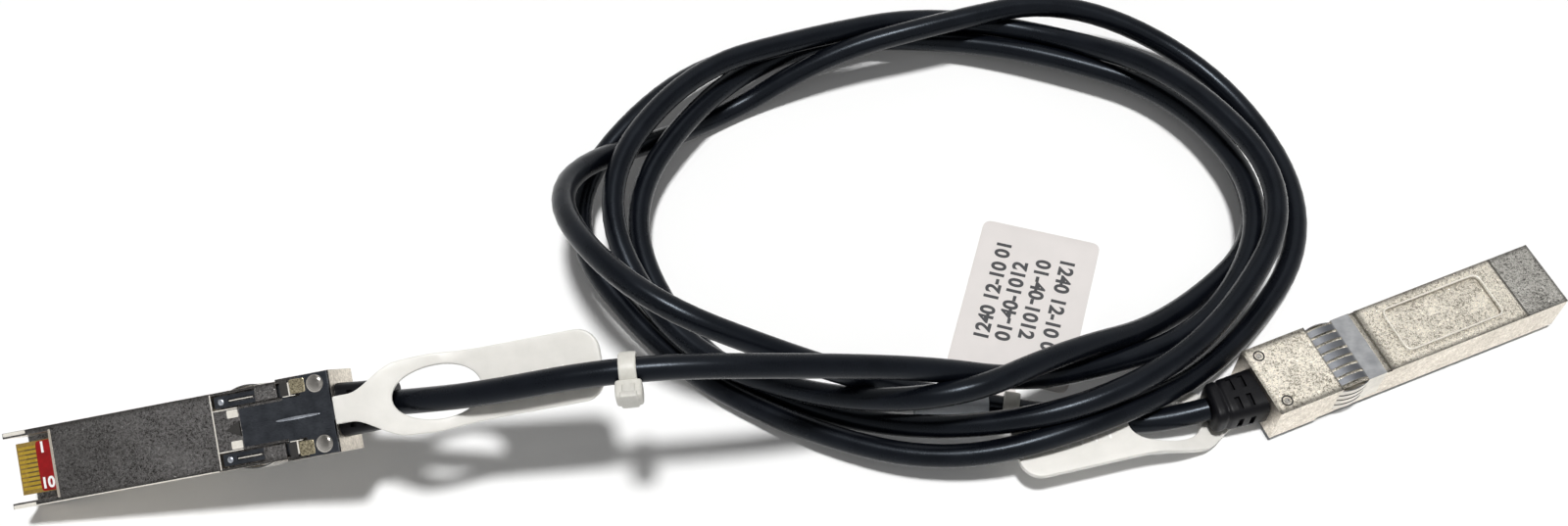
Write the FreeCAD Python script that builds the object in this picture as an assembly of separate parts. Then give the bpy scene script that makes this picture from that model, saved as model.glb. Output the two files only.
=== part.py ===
"""A coiled direct attach copper cable: two identical pluggable plugs on one black twinax cord.

Millimetres, X right, Y away from the front, Z up, resting on Z = 0. Each plug is built in its
own frame (X from nose to rear, Y across, Z up, underside of the nose at Z = 0) and then placed.
"""
import FreeCAD
import Part
import math
import os

V = FreeCAD.Vector
X_AXIS = V(1, 0, 0)
Y_AXIS = V(0, 1, 0)
Z_AXIS = V(0, 0, 1)
MOVING_GAP = 0.3            # clearance round everything that slides

# Plug body
BOSS_SHOULDER = 45.0        # nose tips to the latch shoulder
REAR_LENGTH = 17.5          # latch shoulder to the rear face
NOSE_WIDTH = 13.55
NOSE_HEIGHT = 8.5
WALL = 1.0
FLOOR = 1.9
LID = 1.1
HOOD_LENGTH = 8.8           # open-bottomed hood over the card edge
BLOCK_LENGTH = 9.9          # wider rear block that stays outside the cage
BLOCK_STEP = 0.325
BLOCK_BOTTOM = -0.1
LIP_SETBACK = 4.3           # latch shoulder to the raised rear cover's front edge
COVER_RISE = 0.7
PIN_SETBACK = 2.5
PIN_MARGIN = 2.1
PIN_DIAMETER = 1.2
PIN_SINK = 0.15
PLUG_LENGTH = BOSS_SHOULDER + REAR_LENGTH
BLOCK_FRONT = PLUG_LENGTH - BLOCK_LENGTH
BLOCK_WIDTH = NOSE_WIDTH + 2 * BLOCK_STEP
COVER_LIP = BOSS_SHOULDER + LIP_SETBACK
SEAM_Z = NOSE_HEIGHT - LID
COVER_TOP = NOSE_HEIGHT + COVER_RISE
INNER_WIDTH = NOSE_WIDTH - 2 * WALL
PIN_AT = PLUG_LENGTH - PIN_SETBACK
PIN_SPREAD = BLOCK_WIDTH / 2 - PIN_MARGIN

# Label recess and finger groove on the cover
LABEL_FRONT = 13.0
LABEL_LENGTH = 21.0
LABEL_WIDTH = 9.3
LABEL_CORNER = 1.3
LABEL_DEPTH = 0.25
GROOVE_WIDTH = 1.1
GROOVE_DEPTH = 0.3
GROOVE_TO_COLLAR = 0.1

# Circuit board and its edge contacts
CARD_SETBACK = 0.8
CARD_BOTTOM = 2.25
CARD_THICKNESS = 1.0
CARD_EDGE_WIDTH = 9.2
BOARD_SHOULDER = 1.2        # behind the hood
BOARD_TAIL = 1.0            # behind the latch shoulder
BOARD_SIDE_GAP = 0.15
LEDGE = 0.9
PAD_COUNT = 10
PAD_PITCH = 0.8
PAD_WIDTH = 0.5
PAD_LENGTH = 4.1
PAD_HEIGHT = 0.05
PAD_SETBACK = 0.3
BOARD_START = HOOD_LENGTH + BOARD_SHOULDER
BOARD_END = BOSS_SHOULDER + BOARD_TAIL

# Sprung shielding collar
COLLAR_LENGTH = 9.6
COLLAR_SHEET = 0.2
COLLAR_FOOT = 1.0           # height of its lower edges above the underside
FINGER_LENGTH = 5.8
FINGER_BULGE = 0.55
FINGER_SLOT = 0.5
FINGER_MARGIN = 0.5
TOP_FINGERS = 7
SIDE_FINGERS = 4
COLLAR_FRONT = COVER_LIP - COLLAR_LENGTH
FINGER_FRONT = COVER_LIP - FINGER_LENGTH
GROOVE_AT = COLLAR_FRONT - GROOVE_TO_COLLAR - GROOVE_WIDTH

# Latch: boss on the base, sliding plate, rivets
BOSS_LENGTH = 2.6
BOSS_WIDTH = 2.6
BOSS_HEIGHT = 0.45
PLATE_THICKNESS = 0.4
TONGUE_GAP = 0.5            # between the boss shoulder and the tongue
TONGUE_SIDE_GAP = 0.7
PLATE_INSET = 0.1
PLATE_SETBACK = 0.1
PLATE_LENGTH = 5.3
WEB_SETBACK = 8.7           # latch shoulder to the webs that carry the arms
WEB_STRIP = 1.4
WAIST_STEP = 0.3
ARM_WALL = 0.425
ARM_WIDTH = 2.05
ARM_LENGTH = 13.1
ARM_LEVEL = 0.4
ARM_SLOT_START = 2.6
ARM_SLOT_LENGTH = 5.0
ARM_SLOT_WIDTH = 0.6
CHANNEL_DEPTH = 1.3
BRIDGE_SETBACK = 3.6
BRIDGE_LENGTH = 4.0
BRIDGE_DROP = 0.25
LATCH_TRAVEL = 2.0
RIVET_SETBACK = 3.5
RIVET_MARGIN = 1.8
RIVET_RADIUS = 1.6
RIVET_DOME = 0.45
RIB_SETBACK = 2.0
RIB_LENGTH = 10.5
RIB_WIDTH = 0.8
RIB_HEIGHT = 0.2
STUB_WIDTH = 3.2            # rear stub of the plate, moulded into the pull tab
STUB_LENGTH = 5.5
PLATE_TOP = BLOCK_BOTTOM - MOVING_GAP
PLATE_BOTTOM = PLATE_TOP - PLATE_THICKNESS
TONGUE_FRONT = BOSS_SHOULDER + TONGUE_GAP
PLATE_REAR = PLUG_LENGTH - PLATE_SETBACK
PLATE_FRONT = PLATE_REAR - PLATE_LENGTH
PLATE_WIDTH = BLOCK_WIDTH - 2 * PLATE_INSET
WEB_AT = BOSS_SHOULDER + WEB_SETBACK
ARM_FRONT = WEB_AT - ARM_LENGTH
ARM_OUTER = NOSE_WIDTH / 2 - ARM_WALL - MOVING_GAP
ARM_INNER = ARM_OUTER - ARM_WIDTH
TONGUE_WIDTH = 2 * (ARM_INNER - TONGUE_SIDE_GAP)
BRIDGE_FRONT = BOSS_SHOULDER + BRIDGE_SETBACK
RIVET_AT = PLATE_REAR - RIVET_SETBACK
RIVET_SPREAD = PLATE_WIDTH / 2 - RIVET_MARGIN

# Pull tab, pushed up over the rear hole by the cord that threads it
TAB_THICKNESS = 1.2
TAB_SKIN = 0.4              # nylon moulded under the plate's rear stub
TAB_NECK_WIDTH = 4.8
TAB_NECK_LENGTH = 3.5       # from the rear face to the bend
TAB_FLARE = 4.5
TAB_WIDTH = 12.4
TAB_LENGTH = 46.5           # from the rear face
TAB_CORNER = 4.0
TAB_RISE = 5.4
TAB_RAMP = 16.5
TAB_RAMP_SETBACK = 2.5
HOLE_SETBACK = 3.5          # from the bend
HOLE_LENGTH = 17.0
HOLE_WIDTH = 10.0
TAB_BEND_AT = PLUG_LENGTH + TAB_NECK_LENGTH
TAB_SHOULDER = TAB_BEND_AT + TAB_FLARE
TAB_END = PLUG_LENGTH + TAB_LENGTH
TAB_LOW = PLATE_BOTTOM - TAB_SKIN
HOLE_FRONT = TAB_BEND_AT + HOLE_SETBACK
RAMP_START = TAB_BEND_AT + TAB_RAMP_SETBACK

# Cord, boot and ferrule
CABLE_DIAMETER = 4.4
CABLE_Z = 4.25              # height of the cord's centre in the plug
BOOT_LENGTH = 9.5
BOOT_WIDTH = 9.4
BOOT_HEIGHT = 7.4
BOOT_END_WIDTH = 8.2
BOOT_END_HEIGHT = 6.6
FERRULE_DIAMETER = 5.6
FERRULE_LENGTH = 6.5
WIRE_DIAMETER = 1.0
WIRE_PITCH = 1.15

# Each plug: nose place, (yaw, pitch, roll), boot bend and sideways swing of the tab in degrees
PLUGS = {
    "left": (V(-141.0, -20.6, 10.45), (4.0, -14.1, -150.9), 5.0, 0.0),
    "right": (V(140.4, 21.4, 1.25), (-157.3, 0.0, 0.0), -11.0, -8.8),
}

# Loose coil: (direction in degrees, inner radius, outer radius, top height)
COIL_CENTRE = V(26, 37, 0)
COIL_SECTIONS = [
    (0, 58.5, 73, 15.5), (30, 52, 72.5, 15), (60, 43.5, 60, 14),
    (90, 41, 53, 12.5), (120, 43, 52, 13), (150, 48, 65, 13.5),
    (180, 56, 74, 17), (210, 52, 62, 25), (240, 43, 54.5, 24.5),
    (270, 40, 54, 20), (300, 42.5, 57, 18), (330, 53, 61, 15),
]
COIL_CORNER = 2.2

# Cord between each boot and the coil
LEFT_ROUTE = [
    V(-62.5, -14.8, 27.0), V(-53.0, -15.5, 30.8), V(-36.5, -14.3, 34.9),
    V(-22.0, -13.1, 35.4), V(-7.0, -11.5, 32.6), V(8.0, -8.6, 27.3),
    V(23.0, -5.5, 20.5), V(35.5, -4.2, 14.8),
]
RIGHT_ROUTE = [
    V(65.0, -7.4, 4.0), V(56.0, -6.5, 2.4), V(48.0, -5.6, 2.3),
]

# Ties, marker tag and product label on the cord
TIE_WALL = 1.0
TIE_WIDTH = 3.0
TIE_HEAD = V(4.6, 3.4, 3.8)
CABLE_TIE_RUN = 3           # run of the left cord that carries the tie
CABLE_TIE_AT = 0.41         # how far along that run it sits
INNER_STRAND = V(37.0, -4.6, 3.5)
LABEL_STRAND = V(26.8, -4.2, 3.8)
SLEEVE_LENGTH = 13.5
SLEEVE_WALL = 0.35
TAG_WIDTH = 23.3
TAG_LENGTH = 34.0
TAG_THICKNESS = 0.6
TAG_CORNER = V(35.9, 39.4, 0)
TAG_DIRECTION = -105.8
TAG_TAIL = 5.0


def block(x0, x1, y0, y1, z0, z1):
    """Box between two corners."""
    return Part.makeBox(x1 - x0, y1 - y0, z1 - z0, V(x0, y0, z0))


def centred(x0, x1, width, z0, z1):
    """Box symmetric about the plug's middle plane."""
    return block(x0, x1, -width / 2, width / 2, z0, z1)


def fuse_all(shapes):
    """One solid out of several touching ones."""
    return shapes[0].multiFuse(shapes[1:]).removeSplitter()


def prism(points, z0, z1):
    """Upright prism over a plan outline."""
    wire = Part.makePolygon([V(x, y, z0) for x, y in points + points[:1]])
    return Part.Face(wire).extrude(V(0, 0, z1 - z0))


def rounded_plate(x0, length, width, radius, z0, z1):
    """Upright prism over a rectangle with rounded corners."""
    plate = centred(x0, x0 + length, width, z0, z1)
    upright = [e for e in plate.Edges if abs(e.tangentAt(e.FirstParameter).z) > 0.9]
    return plate.makeFillet(radius, upright)


def base_shell():
    """Tub with an open-bottomed hood in front, a wider rear block and the latch boss."""
    hood = centred(0, HOOD_LENGTH, NOSE_WIDTH, 0, NOSE_HEIGHT)
    hood = hood.cut(centred(-1, HOOD_LENGTH, INNER_WIDTH, -1, SEAM_Z))
    tub = centred(HOOD_LENGTH, BLOCK_FRONT, NOSE_WIDTH, 0, SEAM_Z)
    rear = centred(BLOCK_FRONT, PLUG_LENGTH, BLOCK_WIDTH, BLOCK_BOTTOM, NOSE_HEIGHT)
    body = fuse_all([hood, tub, rear])
    wire_end = PLUG_LENGTH - FERRULE_LENGTH
    body = body.cut(centred(HOOD_LENGTH, wire_end, INNER_WIDTH, CARD_BOTTOM, NOSE_HEIGHT + 1))
    body = body.cut(centred(HOOD_LENGTH, wire_end, INNER_WIDTH - 2 * LEDGE, FLOOR, SEAM_Z))
    bore = Part.makeCylinder(FERRULE_DIAMETER / 2, FERRULE_LENGTH, V(wire_end, 0, CABLE_Z), X_AXIS)
    body = body.cut(bore)
    recess = COLLAR_SHEET
    for side in (-1, 1):
        edges = sorted([side * NOSE_WIDTH / 2, side * (NOSE_WIDTH / 2 - recess)])
        body = body.cut(block(COLLAR_FRONT, COVER_LIP, edges[0], edges[1], COLLAR_FOOT, SEAM_Z))
        body = body.cut(latch_channel(side))
    body = body.fuse([latch_boss(), bridge(-1), bridge(1), cover_pin(-1), cover_pin(1)])
    return body.removeSplitter()


def latch_channel(side):
    """Slot in the underside for one arm of the latch plate."""
    inner = ARM_INNER - MOVING_GAP
    outer = ARM_OUTER + MOVING_GAP
    front = ARM_FRONT - MOVING_GAP
    rear = WEB_AT + PLATE_THICKNESS + LATCH_TRAVEL + 2 * MOVING_GAP
    y0, y1 = sorted([side * inner, side * outer])
    return block(front, rear, y0, y1, BLOCK_BOTTOM - 1, CHANNEL_DEPTH)


def latch_boss():
    """Wedge whose square shoulder catches the cage."""
    half = BOSS_WIDTH / 2
    front = BOSS_SHOULDER - BOSS_LENGTH
    outline = [(front, 0), (BOSS_SHOULDER, -half), (BOSS_SHOULDER, half)]
    return prism(outline, -BOSS_HEIGHT, 0)


def bridge(side):
    """Cast bar across the outside of one latch arm."""
    y0, y1 = sorted([side * ARM_INNER, side * NOSE_WIDTH / 2])
    top = ARM_LEVEL - MOVING_GAP
    return block(BRIDGE_FRONT, BRIDGE_FRONT + BRIDGE_LENGTH, y0, y1, -BRIDGE_DROP, top)


def cover_pin(side):
    """Swaged pin that holds the rear of the cover."""
    place = V(PIN_AT, side * PIN_SPREAD, NOSE_HEIGHT)
    return Part.makeCylinder(PIN_DIAMETER / 2, COVER_RISE - PIN_SINK, place)


def top_cover():
    """Lid of the tub with its raised rear plate, label recess and groove."""
    lid = centred(HOOD_LENGTH, BLOCK_FRONT, NOSE_WIDTH, SEAM_Z, NOSE_HEIGHT)
    rear = centred(COVER_LIP, PLUG_LENGTH, BLOCK_WIDTH, NOSE_HEIGHT, COVER_TOP)
    cover = fuse_all([lid, rear])
    cover = cover.cut(rounded_plate(LABEL_FRONT, LABEL_LENGTH, LABEL_WIDTH, LABEL_CORNER,
                                    NOSE_HEIGHT - LABEL_DEPTH, COVER_TOP))
    cover = cover.cut(centred(GROOVE_AT, GROOVE_AT + GROOVE_WIDTH, NOSE_WIDTH,
                              NOSE_HEIGHT - GROOVE_DEPTH, COVER_TOP))
    ring = centred(COLLAR_FRONT, COVER_LIP, NOSE_WIDTH, SEAM_Z, NOSE_HEIGHT)
    core = centred(COLLAR_FRONT, COVER_LIP, NOSE_WIDTH - 2 * COLLAR_SHEET, SEAM_Z,
                   NOSE_HEIGHT - COLLAR_SHEET)
    cover = cover.cut(ring.cut(core))
    for side in (-1, 1):
        place = V(PIN_AT, side * PIN_SPREAD, NOSE_HEIGHT - 1)
        cover = cover.cut(Part.makeCylinder(PIN_DIAMETER / 2, 3, place))
    return cover


def finger(width):
    """One bowed spring finger lying on Z = 0 and centred on Y = 0."""
    length = COVER_LIP - FINGER_FRONT
    start = V(FINGER_FRONT, -width / 2, 0)
    middle = V(FINGER_FRONT + length / 2, -width / 2, FINGER_BULGE)
    end = V(COVER_LIP, -width / 2, 0)
    drop = V(0, 0, -COLLAR_SHEET)
    outer = Part.Arc(start, middle, end).toShape()
    inner = Part.Arc(end + drop, middle + drop, start + drop).toShape()
    ends = [Part.makeLine(end, end + drop), Part.makeLine(start + drop, start)]
    return Part.Face(Part.Wire([outer, ends[0], inner, ends[1]])).extrude(V(0, width, 0))


def emi_collar():
    """Sheet-metal collar on three sides with a row of bowed fingers behind a plain strip."""
    outside = centred(COLLAR_FRONT, FINGER_FRONT, NOSE_WIDTH, COLLAR_FOOT, NOSE_HEIGHT)
    inside = centred(COLLAR_FRONT, FINGER_FRONT, NOSE_WIDTH - 2 * COLLAR_SHEET, COLLAR_FOOT,
                     NOSE_HEIGHT - COLLAR_SHEET)
    pieces = [outside.cut(inside)]
    pitch = (NOSE_WIDTH - 2 * FINGER_MARGIN) / TOP_FINGERS
    for i in range(TOP_FINGERS):
        one = finger(pitch - FINGER_SLOT)
        one.translate(V(0, (i - (TOP_FINGERS - 1) / 2) * pitch, NOSE_HEIGHT))
        pieces.append(one)
    pitch = (NOSE_HEIGHT - COLLAR_FOOT - FINGER_MARGIN) / SIDE_FINGERS
    for side in (-1, 1):
        for i in range(SIDE_FINGERS):
            one = finger(pitch - FINGER_SLOT)
            one.rotate(V(0, 0, 0), X_AXIS, -side * 90)
            one.translate(V(0, side * NOSE_WIDTH / 2, COLLAR_FOOT + (i + 0.5) * pitch))
            pieces.append(one)
    return fuse_all(pieces)


def circuit_board():
    """Board with a narrow card edge, resting on the ledges of the tub."""
    top = CARD_BOTTOM + CARD_THICKNESS
    edge = centred(CARD_SETBACK, BOARD_START, CARD_EDGE_WIDTH, CARD_BOTTOM, top)
    width = INNER_WIDTH - 2 * BOARD_SIDE_GAP
    return fuse_all([edge, centred(BOARD_START, BOARD_END, width, CARD_BOTTOM, top)])


def contact_pads():
    """Gold strips on both faces of the card edge."""
    pads = []
    start = CARD_SETBACK + PAD_SETBACK
    for i in range(PAD_COUNT):
        y = (i - (PAD_COUNT - 1) / 2) * PAD_PITCH
        for z in (CARD_BOTTOM - PAD_HEIGHT, CARD_BOTTOM + CARD_THICKNESS):
            half = PAD_WIDTH / 2
            pads.append(block(start, start + PAD_LENGTH, y - half, y + half, z, z + PAD_HEIGHT))
    return Part.makeCompound(pads)


def latch_outline():
    """Plan outline of the flat of the latch plate, from the tongue round to the tongue."""
    tongue = TONGUE_WIDTH / 2
    half = PLATE_WIDTH / 2
    stub = STUB_WIDTH / 2
    strip = WEB_AT + WEB_STRIP
    waist = tongue + WAIST_STEP
    right = [
        (TONGUE_FRONT, tongue), (WEB_AT, tongue), (WEB_AT, ARM_OUTER), (strip, ARM_OUTER),
        (strip, waist), (PLATE_FRONT, waist), (PLATE_FRONT, half),
        (PLATE_REAR, half), (PLATE_REAR, stub), (PLATE_REAR + STUB_LENGTH, stub),
    ]
    return right + [(x, -y) for x, y in reversed(right)]


def latch_plate():
    """Stainless plate with a tongue, a pressed rib and two arms that reach into the base."""
    pieces = [prism(latch_outline(), PLATE_BOTTOM, PLATE_TOP)]
    arm_top = ARM_LEVEL + PLATE_THICKNESS
    slot_start = ARM_FRONT + ARM_SLOT_START
    slot = ARM_SLOT_WIDTH / 2
    for side in (-1, 1):
        y0, y1 = sorted([side * ARM_INNER, side * ARM_OUTER])
        arm = block(ARM_FRONT, WEB_AT, y0, y1, ARM_LEVEL, arm_top)
        middle = side * (ARM_INNER + ARM_OUTER) / 2
        arm = arm.cut(block(slot_start, slot_start + ARM_SLOT_LENGTH, middle - slot,
                            middle + slot, ARM_LEVEL - 1, arm_top + 1))
        pieces.append(arm)
        pieces.append(block(WEB_AT, WEB_AT + PLATE_THICKNESS, y0, y1, PLATE_BOTTOM, arm_top))
    rib_front = TONGUE_FRONT + RIB_SETBACK
    pieces.append(centred(rib_front, rib_front + RIB_LENGTH, RIB_WIDTH,
                          PLATE_BOTTOM - RIB_HEIGHT, PLATE_BOTTOM))
    return fuse_all(pieces)


def latch_rivets():
    """Two domed rivet heads on the latch plate."""
    rivets = []
    sphere = (RIVET_RADIUS ** 2 + RIVET_DOME ** 2) / (2 * RIVET_DOME)
    for side in (-1, 1):
        place = V(RIVET_AT, side * RIVET_SPREAD, PLATE_BOTTOM - RIVET_DOME + sphere)
        ball = Part.makeSphere(sphere, place)
        reach = 2 * RIVET_RADIUS
        under = block(RIVET_AT - reach, RIVET_AT + reach, place.y - reach, place.y + reach,
                      PLATE_BOTTOM - reach, PLATE_BOTTOM)
        rivets.append(ball.common(under))
    return Part.makeCompound(rivets)


def tab_strip(start, end, width):
    """Bent strip of the tab's thickness: level, up a ramp over the hole, level again."""
    low = TAB_LOW
    high = low + TAB_RISE
    under = [(start, low), (RAMP_START, low), (RAMP_START + TAB_RAMP, high), (end, high)]
    over = [(x, z + TAB_THICKNESS) for x, z in reversed(under)]
    points = [V(x, -width / 2, z) for x, z in under + over]
    return Part.Face(Part.makePolygon(points + points[:1])).extrude(V(0, width, 0))


def pull_tab(swing):
    """Nylon tab: a neck under the boot, a ring round the cord's hole and a grip bar."""
    low = TAB_LOW - 1
    high = TAB_LOW + TAB_RISE + TAB_THICKNESS + 1
    neck_start = PLUG_LENGTH + MOVING_GAP
    neck = centred(neck_start, RAMP_START, TAB_NECK_WIDTH, low, high)
    half = TAB_WIDTH / 2
    flare = prism([(TAB_BEND_AT - 1, -TAB_NECK_WIDTH / 2), (TAB_SHOULDER, -half),
                   (TAB_SHOULDER, half), (TAB_BEND_AT - 1, TAB_NECK_WIDTH / 2)], low, high)
    start = TAB_SHOULDER - 2 * TAB_CORNER
    bar = rounded_plate(start, TAB_END - start, TAB_WIDTH, TAB_CORNER, low, high)
    bar = bar.cut(centred(start - 1, TAB_SHOULDER, TAB_WIDTH + 2, low - 1, high + 1))
    hole = rounded_plate(HOLE_FRONT, HOLE_LENGTH, HOLE_WIDTH, HOLE_WIDTH / 2 - 0.05,
                         low - 1, high + 1)
    ring = flare.fuse(bar).cut(hole)
    ring.rotate(V(TAB_BEND_AT, 0, 0), Z_AXIS, swing)
    plan = neck.fuse(ring)
    strip = tab_strip(neck_start, TAB_END + 2, 4 * TAB_WIDTH)
    tab = plan.common(strip).removeSplitter()
    return tab.cut(latch_plate())


def rounded_section(width, height, centre, heading):
    """Rounded rectangle across the plug at a point of the boot's bent centre line."""
    radius = min(width, height) * 0.42
    flat = V(width / 2 - radius, height / 2 - radius, 0)
    edges = []
    corners = [(1, 1), (-1, 1), (-1, -1), (1, -1)]
    for i, (sy, sz) in enumerate(corners):
        ny, nz = corners[(i + 1) % 4]
        middle = V(0, sy * flat.x, sz * flat.y)
        turn = [math.radians(90 * i + a) for a in (0, 45, 90)]
        arc = [middle + V(0, radius * math.cos(t), radius * math.sin(t)) for t in turn]
        edges.append(Part.Arc(arc[0], arc[1], arc[2]).toShape())
        start = V(0, ny * flat.x, nz * flat.y)
        angle = turn[2]
        begin = start + V(0, radius * math.cos(angle), radius * math.sin(angle))
        edges.append(Part.makeLine(arc[2], begin))
    wire = Part.Wire(edges)
    wire.rotate(V(0, 0, 0), Z_AXIS, heading)
    wire.translate(centre)
    return wire


def boot_end(bend):
    """Centre of the boot's outer end, in the plug's frame."""
    half = math.radians(bend / 2)
    return V(PLUG_LENGTH + BOOT_LENGTH * math.cos(half), BOOT_LENGTH * math.sin(half), CABLE_Z)


def boot(bend):
    """Tapered strain relief that leans with the cord."""
    first = rounded_section(BOOT_WIDTH, BOOT_HEIGHT, V(PLUG_LENGTH, 0, CABLE_Z), 0)
    last = rounded_section(BOOT_END_WIDTH, BOOT_END_HEIGHT, boot_end(bend), bend)
    return Part.makeLoft([first, last], True, True)


def ferrule():
    """Crimp ferrule that holds the cord's screen in the rear block."""
    place = V(PLUG_LENGTH - FERRULE_LENGTH, 0, CABLE_Z)
    return Part.makeCylinder(FERRULE_DIAMETER / 2, FERRULE_LENGTH, place, X_AXIS)


def wire_pairs():
    """Four insulated conductors between the board and the ferrule."""
    wires = []
    length = PLUG_LENGTH - FERRULE_LENGTH - BOARD_END
    z = CARD_BOTTOM + CARD_THICKNESS / 2
    for i in range(4):
        place = V(BOARD_END, (i - 1.5) * WIRE_PITCH, z)
        wires.append(Part.makeCylinder(WIRE_DIAMETER / 2, length, place, X_AXIS))
    return Part.makeCompound(wires)


def tab_path(swing):
    """Room that the tab's ring and bar sweep as the latch slides, with its clearance."""
    margin = 2 * MOVING_GAP
    top = TAB_LOW + TAB_RISE + TAB_THICKNESS + margin
    room = centred(TAB_BEND_AT, TAB_END + LATCH_TRAVEL + margin, TAB_WIDTH + 2 * margin, -5, top)
    room.rotate(V(TAB_BEND_AT, 0, 0), Z_AXIS, swing)
    return room


def plug_placement(side):
    """Placement of one plug in the part's frame."""
    place, angles = PLUGS[side][:2]
    return FreeCAD.Placement(place, FreeCAD.Rotation(*angles))


def placed(shape, side):
    """Copy of a plug's piece moved to where that plug lies."""
    moved = shape.copy()
    moved.Placement = plug_placement(side).multiply(moved.Placement)
    return moved


def plug(side):
    """All pieces of one plug in the part's frame, by node name."""
    bend, swing = PLUGS[side][2:]
    pieces = {
        "base_shell": base_shell(),
        "top_cover": top_cover(),
        "circuit_board": circuit_board(),
        "contact_pads": contact_pads(),
        "emi_collar": emi_collar(),
        "latch_plate": latch_plate(),
        "latch_rivets": latch_rivets(),
        "pull_tab": pull_tab(swing),
        "boot": boot(bend),
        "wire_pairs": wire_pairs(),
        "ferrule": ferrule(),
    }
    return {side + "_" + name: placed(shape, side) for name, shape in pieces.items()}


def cord_route(side, points):
    """Route from the end of a boot through the chosen points."""
    return [plug_placement(side).multVec(boot_end(PLUGS[side][2]))] + points


def tube(route, name):
    """Cord along straight runs joined by tangent arcs; prints the bend radii."""
    runs = [(b - a).Length for a, b in zip(route, route[1:])]
    edges = []
    radii = []
    start = route[0]
    for i in range(1, len(route) - 1):
        before = (route[i] - route[i - 1]).normalize()
        after = (route[i + 1] - route[i]).normalize()
        turn = before.getAngle(after)
        reach = 0.45 * min(runs[i - 1], runs[i])
        radii.append(reach / math.tan(turn / 2))
        enter = route[i] - before * reach
        leave = route[i] + after * reach
        inward = (after - before).normalize()
        depth = radii[-1] / math.cos(turn / 2) - radii[-1]
        edges.append(Part.makeLine(start, enter))
        edges.append(Part.Arc(enter, route[i] + inward * depth, leave).toShape())
        start = leave
    edges.append(Part.makeLine(start, route[-1]))
    path = Part.Wire(edges)
    ring = Part.Wire(Part.makeCircle(CABLE_DIAMETER / 2, route[0], route[1] - route[0]))
    solid = path.makePipeShell([ring], True, False)
    section = math.pi * CABLE_DIAMETER ** 2 / 4
    print(name, "radii", [round(r) for r in radii], "length", round(path.Length, 1),
          "volume over section x length", round(solid.Volume / (section * path.Length), 3))
    return solid


def coil_section(row):
    """Upright rounded rectangle across the coil in one direction."""
    direction, inner, outer, top = row
    r = COIL_CORNER
    k = r * (1 - math.sqrt(0.5))
    corners = [(inner, 0, 1, 1), (outer, 0, -1, 1), (outer, top, -1, -1), (inner, top, 1, -1)]
    arcs = []
    for i, (x, z, sx, sz) in enumerate(corners):
        ends = [V(x, 0, z + sz * r), V(x + sx * r, 0, z)]
        if i % 2:
            ends.reverse()
        arcs.append((ends[0], V(x + sx * k, 0, z + sz * k), ends[1]))
    edges = []
    for i, (start, middle, end) in enumerate(arcs):
        edges.append(Part.Arc(start, middle, end).toShape())
        edges.append(Part.makeLine(end, arcs[(i + 1) % 4][0]))
    wire = Part.Wire(edges)
    wire.rotate(V(0, 0, 0), Z_AXIS, direction)
    wire.translate(COIL_CENTRE)
    return wire


def coil():
    """Closed ring of the loose coil's outer shape, with a section midway between each two rows."""
    count = len(COIL_SECTIONS)
    step = 360 / count
    rows = []
    for i in range(count):
        before, here, after, beyond = [COIL_SECTIONS[(i + k) % count][1:] for k in (-1, 0, 1, 2)]
        rows.append((i * step,) + here)
        middle = [(9 * (b + c) - a - d) / 16 for a, b, c, d in zip(before, here, after, beyond)]
        rows.append(((i + 0.5) * step,) + tuple(middle))
    sections = [coil_section(row) for row in rows]
    return Part.makeLoft(sections + sections[:1], True, True)


def collar_on_cord(centre, direction, length, wall):
    """Sleeve round the cord at a point."""
    radius = CABLE_DIAMETER / 2
    axis = V(direction).normalize()
    start = centre - axis * (length / 2)
    outer = Part.makeCylinder(radius + wall, length, start, axis)
    return outer.cut(Part.makeCylinder(radius, length, start, axis))


def tie_on_cord(centre, direction):
    """Cable tie: a strap round the cord with its head on the near side."""
    strap = collar_on_cord(centre, direction, TIE_WIDTH, TIE_WALL)
    head = Part.makeBox(TIE_HEAD.x, TIE_HEAD.y, TIE_HEAD.z,
                        V(-TIE_HEAD.x / 2, -TIE_HEAD.y, -TIE_HEAD.z / 2))
    head.translate(V(0, -CABLE_DIAMETER / 2 - TIE_WALL * 0.3, 0))
    yaw = math.degrees(math.atan2(direction.y, direction.x))
    pitch = math.degrees(math.asin(direction.z / direction.Length))
    head.Placement = FreeCAD.Placement(centre, FreeCAD.Rotation(yaw, -pitch, 0)).multiply(
        head.Placement)
    return strap.fuse(head).removeSplitter()


def marker_tag(tie):
    """Flat tag on the floor inside the coil, with a tail under its tie."""
    plate = centred(0, TAG_LENGTH, TAG_WIDTH, 0, TAG_THICKNESS)
    plate.translate(V(0, TAG_WIDTH / 2, 0))
    plate.rotate(V(0, 0, 0), Z_AXIS, TAG_DIRECTION)
    plate.translate(TAG_CORNER)
    tail_y = INNER_STRAND.y - 1
    tail = block(INNER_STRAND.x - TAG_TAIL / 2, INNER_STRAND.x + TAG_TAIL / 2, tail_y,
                 tail_y + 12, 0, TAG_THICKNESS)
    return plate.fuse(tail).removeSplitter().cut(tie)


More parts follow.
